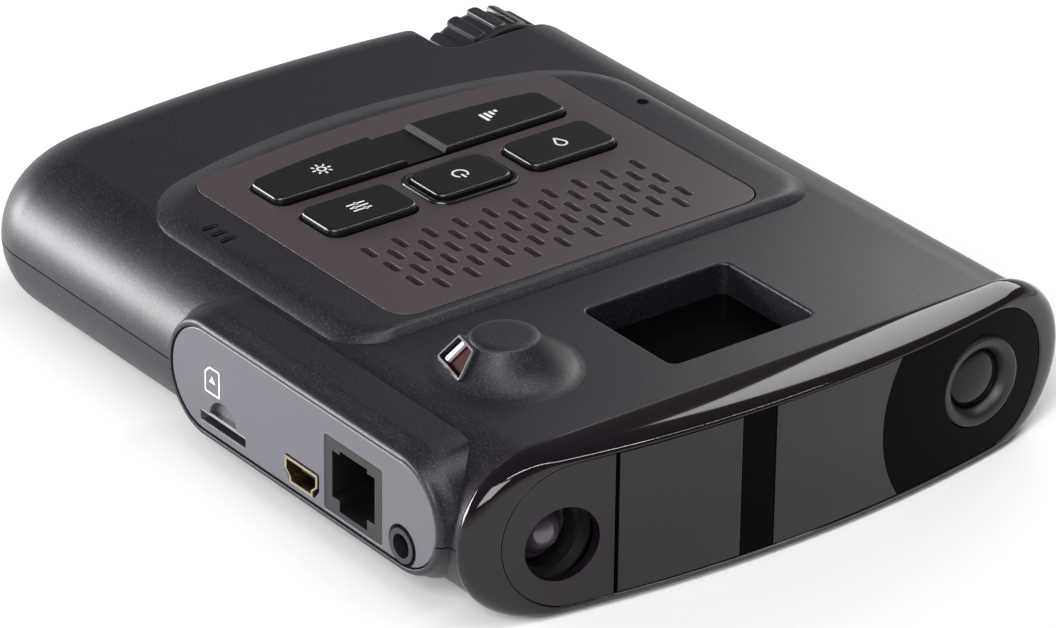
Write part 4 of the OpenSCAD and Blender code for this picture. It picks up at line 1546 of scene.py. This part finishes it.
@dataclass
class Fastenings:
    """The screws that hold the shells together."""

    shell_spots: ClassVar[tuple[Point, ...]] = ((-27, -24), (38, -42), (-38, 42), (20, 52))
    head_r: float = 2.4
    shank_r: float = 1.0

    def build(self) -> None:
        """Make one cross-head screw and repeat it at each spot."""
        profile = [(0.01, 18), (self.shank_r, 17.6), (self.shank_r, 2.1), (self.head_r, 2.1),
                   (self.head_r, 1.2), (self.head_r - 0.3, 0.75), (self.head_r - 0.9, 0.5), (0.01, 0.45)]
        screw = lathe("screw", profile, (0, 0, 0), Facing.UP, 40)
        cross = [stack("cross", rectangle(-a, -b, a, b, 0.1, 2), [(0, -1), (0.12, 1.4)])
                 for a, b in ((1.3, 0.26), (0.26, 1.3))]
        combine(screw, cross, Cut.REMOVE)
        spots = bpy.data.objects.new("case_screws", bpy.data.meshes.new("case_screws"))
        spots.data.from_pydata([Vector((x, y, 0)) * MM for x, y in self.shell_spots], [], [])
        bpy.context.scene.collection.objects.link(spots)
        repeat(spots, spots_tree(), {"Part": screw}, Finishes.SCREW)
        bpy.data.objects.remove(screw)
        dress(fair(spots), Finishes.SCREW, "root", ["shell_screws"])


class Inside:
    """The frame's own nodes that stay in view, each with its finish."""

    FINISH: ClassVar[dict[str, Finish]] = {
        "laser_holder": Finishes.BAFFLE, "laser_sensor": Finishes.MASK, "camera_barrel": Finishes.BAFFLE,
        "camera_board": Finishes.MASK, "keypad_mat": Finishes.SILICONE, "tact_switches": Finishes.STEEL,
        "control_board": Finishes.MASK, "rocker_pin": Finishes.STEEL, "speaker_frame": Finishes.SOCKET,
        "speaker_cone": Finishes.PAPER, "speaker_magnet": Finishes.STEEL, "speaker_cloth": Finishes.CLOTH,
        "dome_sensor": Finishes.MASK, "microphone": Finishes.STEEL, "card_socket": Finishes.STEEL,
        "usb_socket": Finishes.NICKEL, "usb_tongue": Finishes.SOCKET, "power_jack": Finishes.SOCKET,
        "jack_contacts": Finishes.GOLD, "audio_socket": Finishes.SOCKET, "audio_ring": Finishes.KNOB,
        "port_board": Finishes.MASK, "display_window": Finishes.WINDOW, "display_module": Finishes.SOCKET,
        "main_board": Finishes.MASK, "radar_horn": Finishes.ZINC, "rf_shield": Finishes.STEEL,
        "gps_antenna": Finishes.CERAMIC, "backup_cell": Finishes.STEEL, "encoder_body": Finishes.ZINC,
        "board_screws": Finishes.STEEL, "knob_shaft": Finishes.STEEL,
    }

    def build(self, nodes: dict[str, bpy.types.Object]) -> None:
        """Give each node its finish.

        Args:
            nodes: The frame's objects by node name.
        """
        for name, finish in self.FINISH.items():
            mesh = nodes[name].data
            mesh.materials.clear()
            mesh.materials.append(finish.material())
            LOG.info("%s keeps its shape", name)


# ---------------------------------------------------------------- studio


@dataclass
class Studio:
    """The pale floor, the soft lights and the camera."""

    azimuth: float = -37.65
    elevation: float = 27.5
    roll: float = 0.76
    distance: float = 860.0
    lens: float = 204.5
    target: tuple[float, float, float] = (-6.4, -10.0, 15.0)

    def build(self) -> None:
        """Set up everything that isn't part of the object."""
        self.floor()
        self.world()
        self.camera()
        self.light("front_bank", (-1500, -900, 1300), (0, 0, 0), (1100, 1100), 34.0)
        self.light("long_strip", (60, -250, 700), (40, -60, 0), (900, 22), 3.0)
        self.light("deck_glow", (250, 95, 190), (45, -70, 24), (150, 170), 0.34)
        self.light("left_bank", (-420, 480, 40), (-50, 10, 12), (520, 320), 11.0)

    def floor(self) -> None:
        """A plain pale floor that the object stands on."""
        side = 6.0
        ground = solid("floor", [(-side, -side, 0), (side, -side, 0), (side, side, 0), (-side, side, 0)],
                       [(0, 1, 2, 3)])
        shift(ground, 0, 0, -0.02)
        ground.data.materials.append(Finish("white_floor_paper", "#f4f4f4", 0.9, specular=0.1).material())

    def world(self) -> None:
        """A sky that is bright at the horizon and dim overhead."""
        world = bpy.data.worlds.new("studio")
        bpy.context.scene.world = world
        world.use_nodes = True
        tree = world.node_tree
        tree.nodes.clear()
        place = add_node(tree, "ShaderNodeTexCoord")
        split = add_node(tree, "ShaderNodeSeparateXYZ", {}, {0: place.outputs["Generated"]})
        ramp = add_node(tree, "ShaderNodeMapRange",
                        {"From Min": 0.0, "From Max": 0.3, "To Min": 0.95, "To Max": 0.13},
                        {"Value": split.outputs["Z"]})
        back = add_node(tree, "ShaderNodeBackground", {"Color": (1.0, 1.0, 1.0, 1.0)},
                        {"Strength": ramp.outputs[0]})
        add_node(tree, "ShaderNodeOutputWorld", {}, {"Surface": back.outputs[0]})

    def light(self, name: str, place: Sequence[float], aim: Sequence[float], size: Sequence[float],
              power: float) -> None:
        """Add a soft rectangular light.

        Args:
            name: Its name.
            place: Its centre in millimetres.
            aim: What it points at.
            size: Its width and height in millimetres.
            power: Its power in watts.
        """
        lamp = bpy.data.lights.new(name, "AREA")
        lamp.shape = "RECTANGLE"
        lamp.size, lamp.size_y = size[0] * MM, size[1] * MM
        lamp.energy = power
        made = bpy.data.objects.new(name, lamp)
        spot = Vector(place) * MM
        made.location = spot
        made.rotation_euler = (Vector(aim) * MM - spot).to_track_quat("-Z", "Y").to_euler()
        bpy.context.scene.collection.objects.link(made)

    def camera(self) -> None:
        """A long lens from the nose's left, a little above the deck."""
        a, e, roll = (math.radians(v) for v in (self.azimuth, self.elevation, self.roll))
        right = Vector((math.cos(a), math.sin(a), 0))
        up = Vector((-math.sin(a) * math.sin(e), math.cos(a) * math.sin(e), math.cos(e)))
        back = Vector((math.sin(a) * math.cos(e), -math.cos(a) * math.cos(e), math.sin(e)))
        across = right * math.cos(roll) + up * math.sin(roll)
        upward = -right * math.sin(roll) + up * math.cos(roll)
        data = bpy.data.cameras.new("camera")
        data.lens = self.lens
        data.sensor_width = 36.0
        data.clip_start, data.clip_end = 0.05, 20.0
        made = bpy.data.objects.new("camera", data)
        turn = Matrix((across, upward, back)).transposed().to_4x4()
        made.matrix_world = Matrix.Translation(Vector(self.target) * MM + back * self.distance * MM) @ turn
        bpy.context.scene.collection.objects.link(made)
        bpy.context.scene.camera = made


def main() -> None:
    """Build the detector's looks and the studio."""
    logging.basicConfig(level=logging.INFO, format="%(message)s")
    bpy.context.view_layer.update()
    bpy.context.scene.view_settings.view_transform = "Standard"
    shells = Shells()
    shells.build()
    Nose().build()
    ControlPanel().build()
    SocketBay(shells).build()
    Knob().build()
    Fastenings().build()
    Inside().build(frame["nodes"])
    Studio().build()


if __name__ == "__main__":
    main()
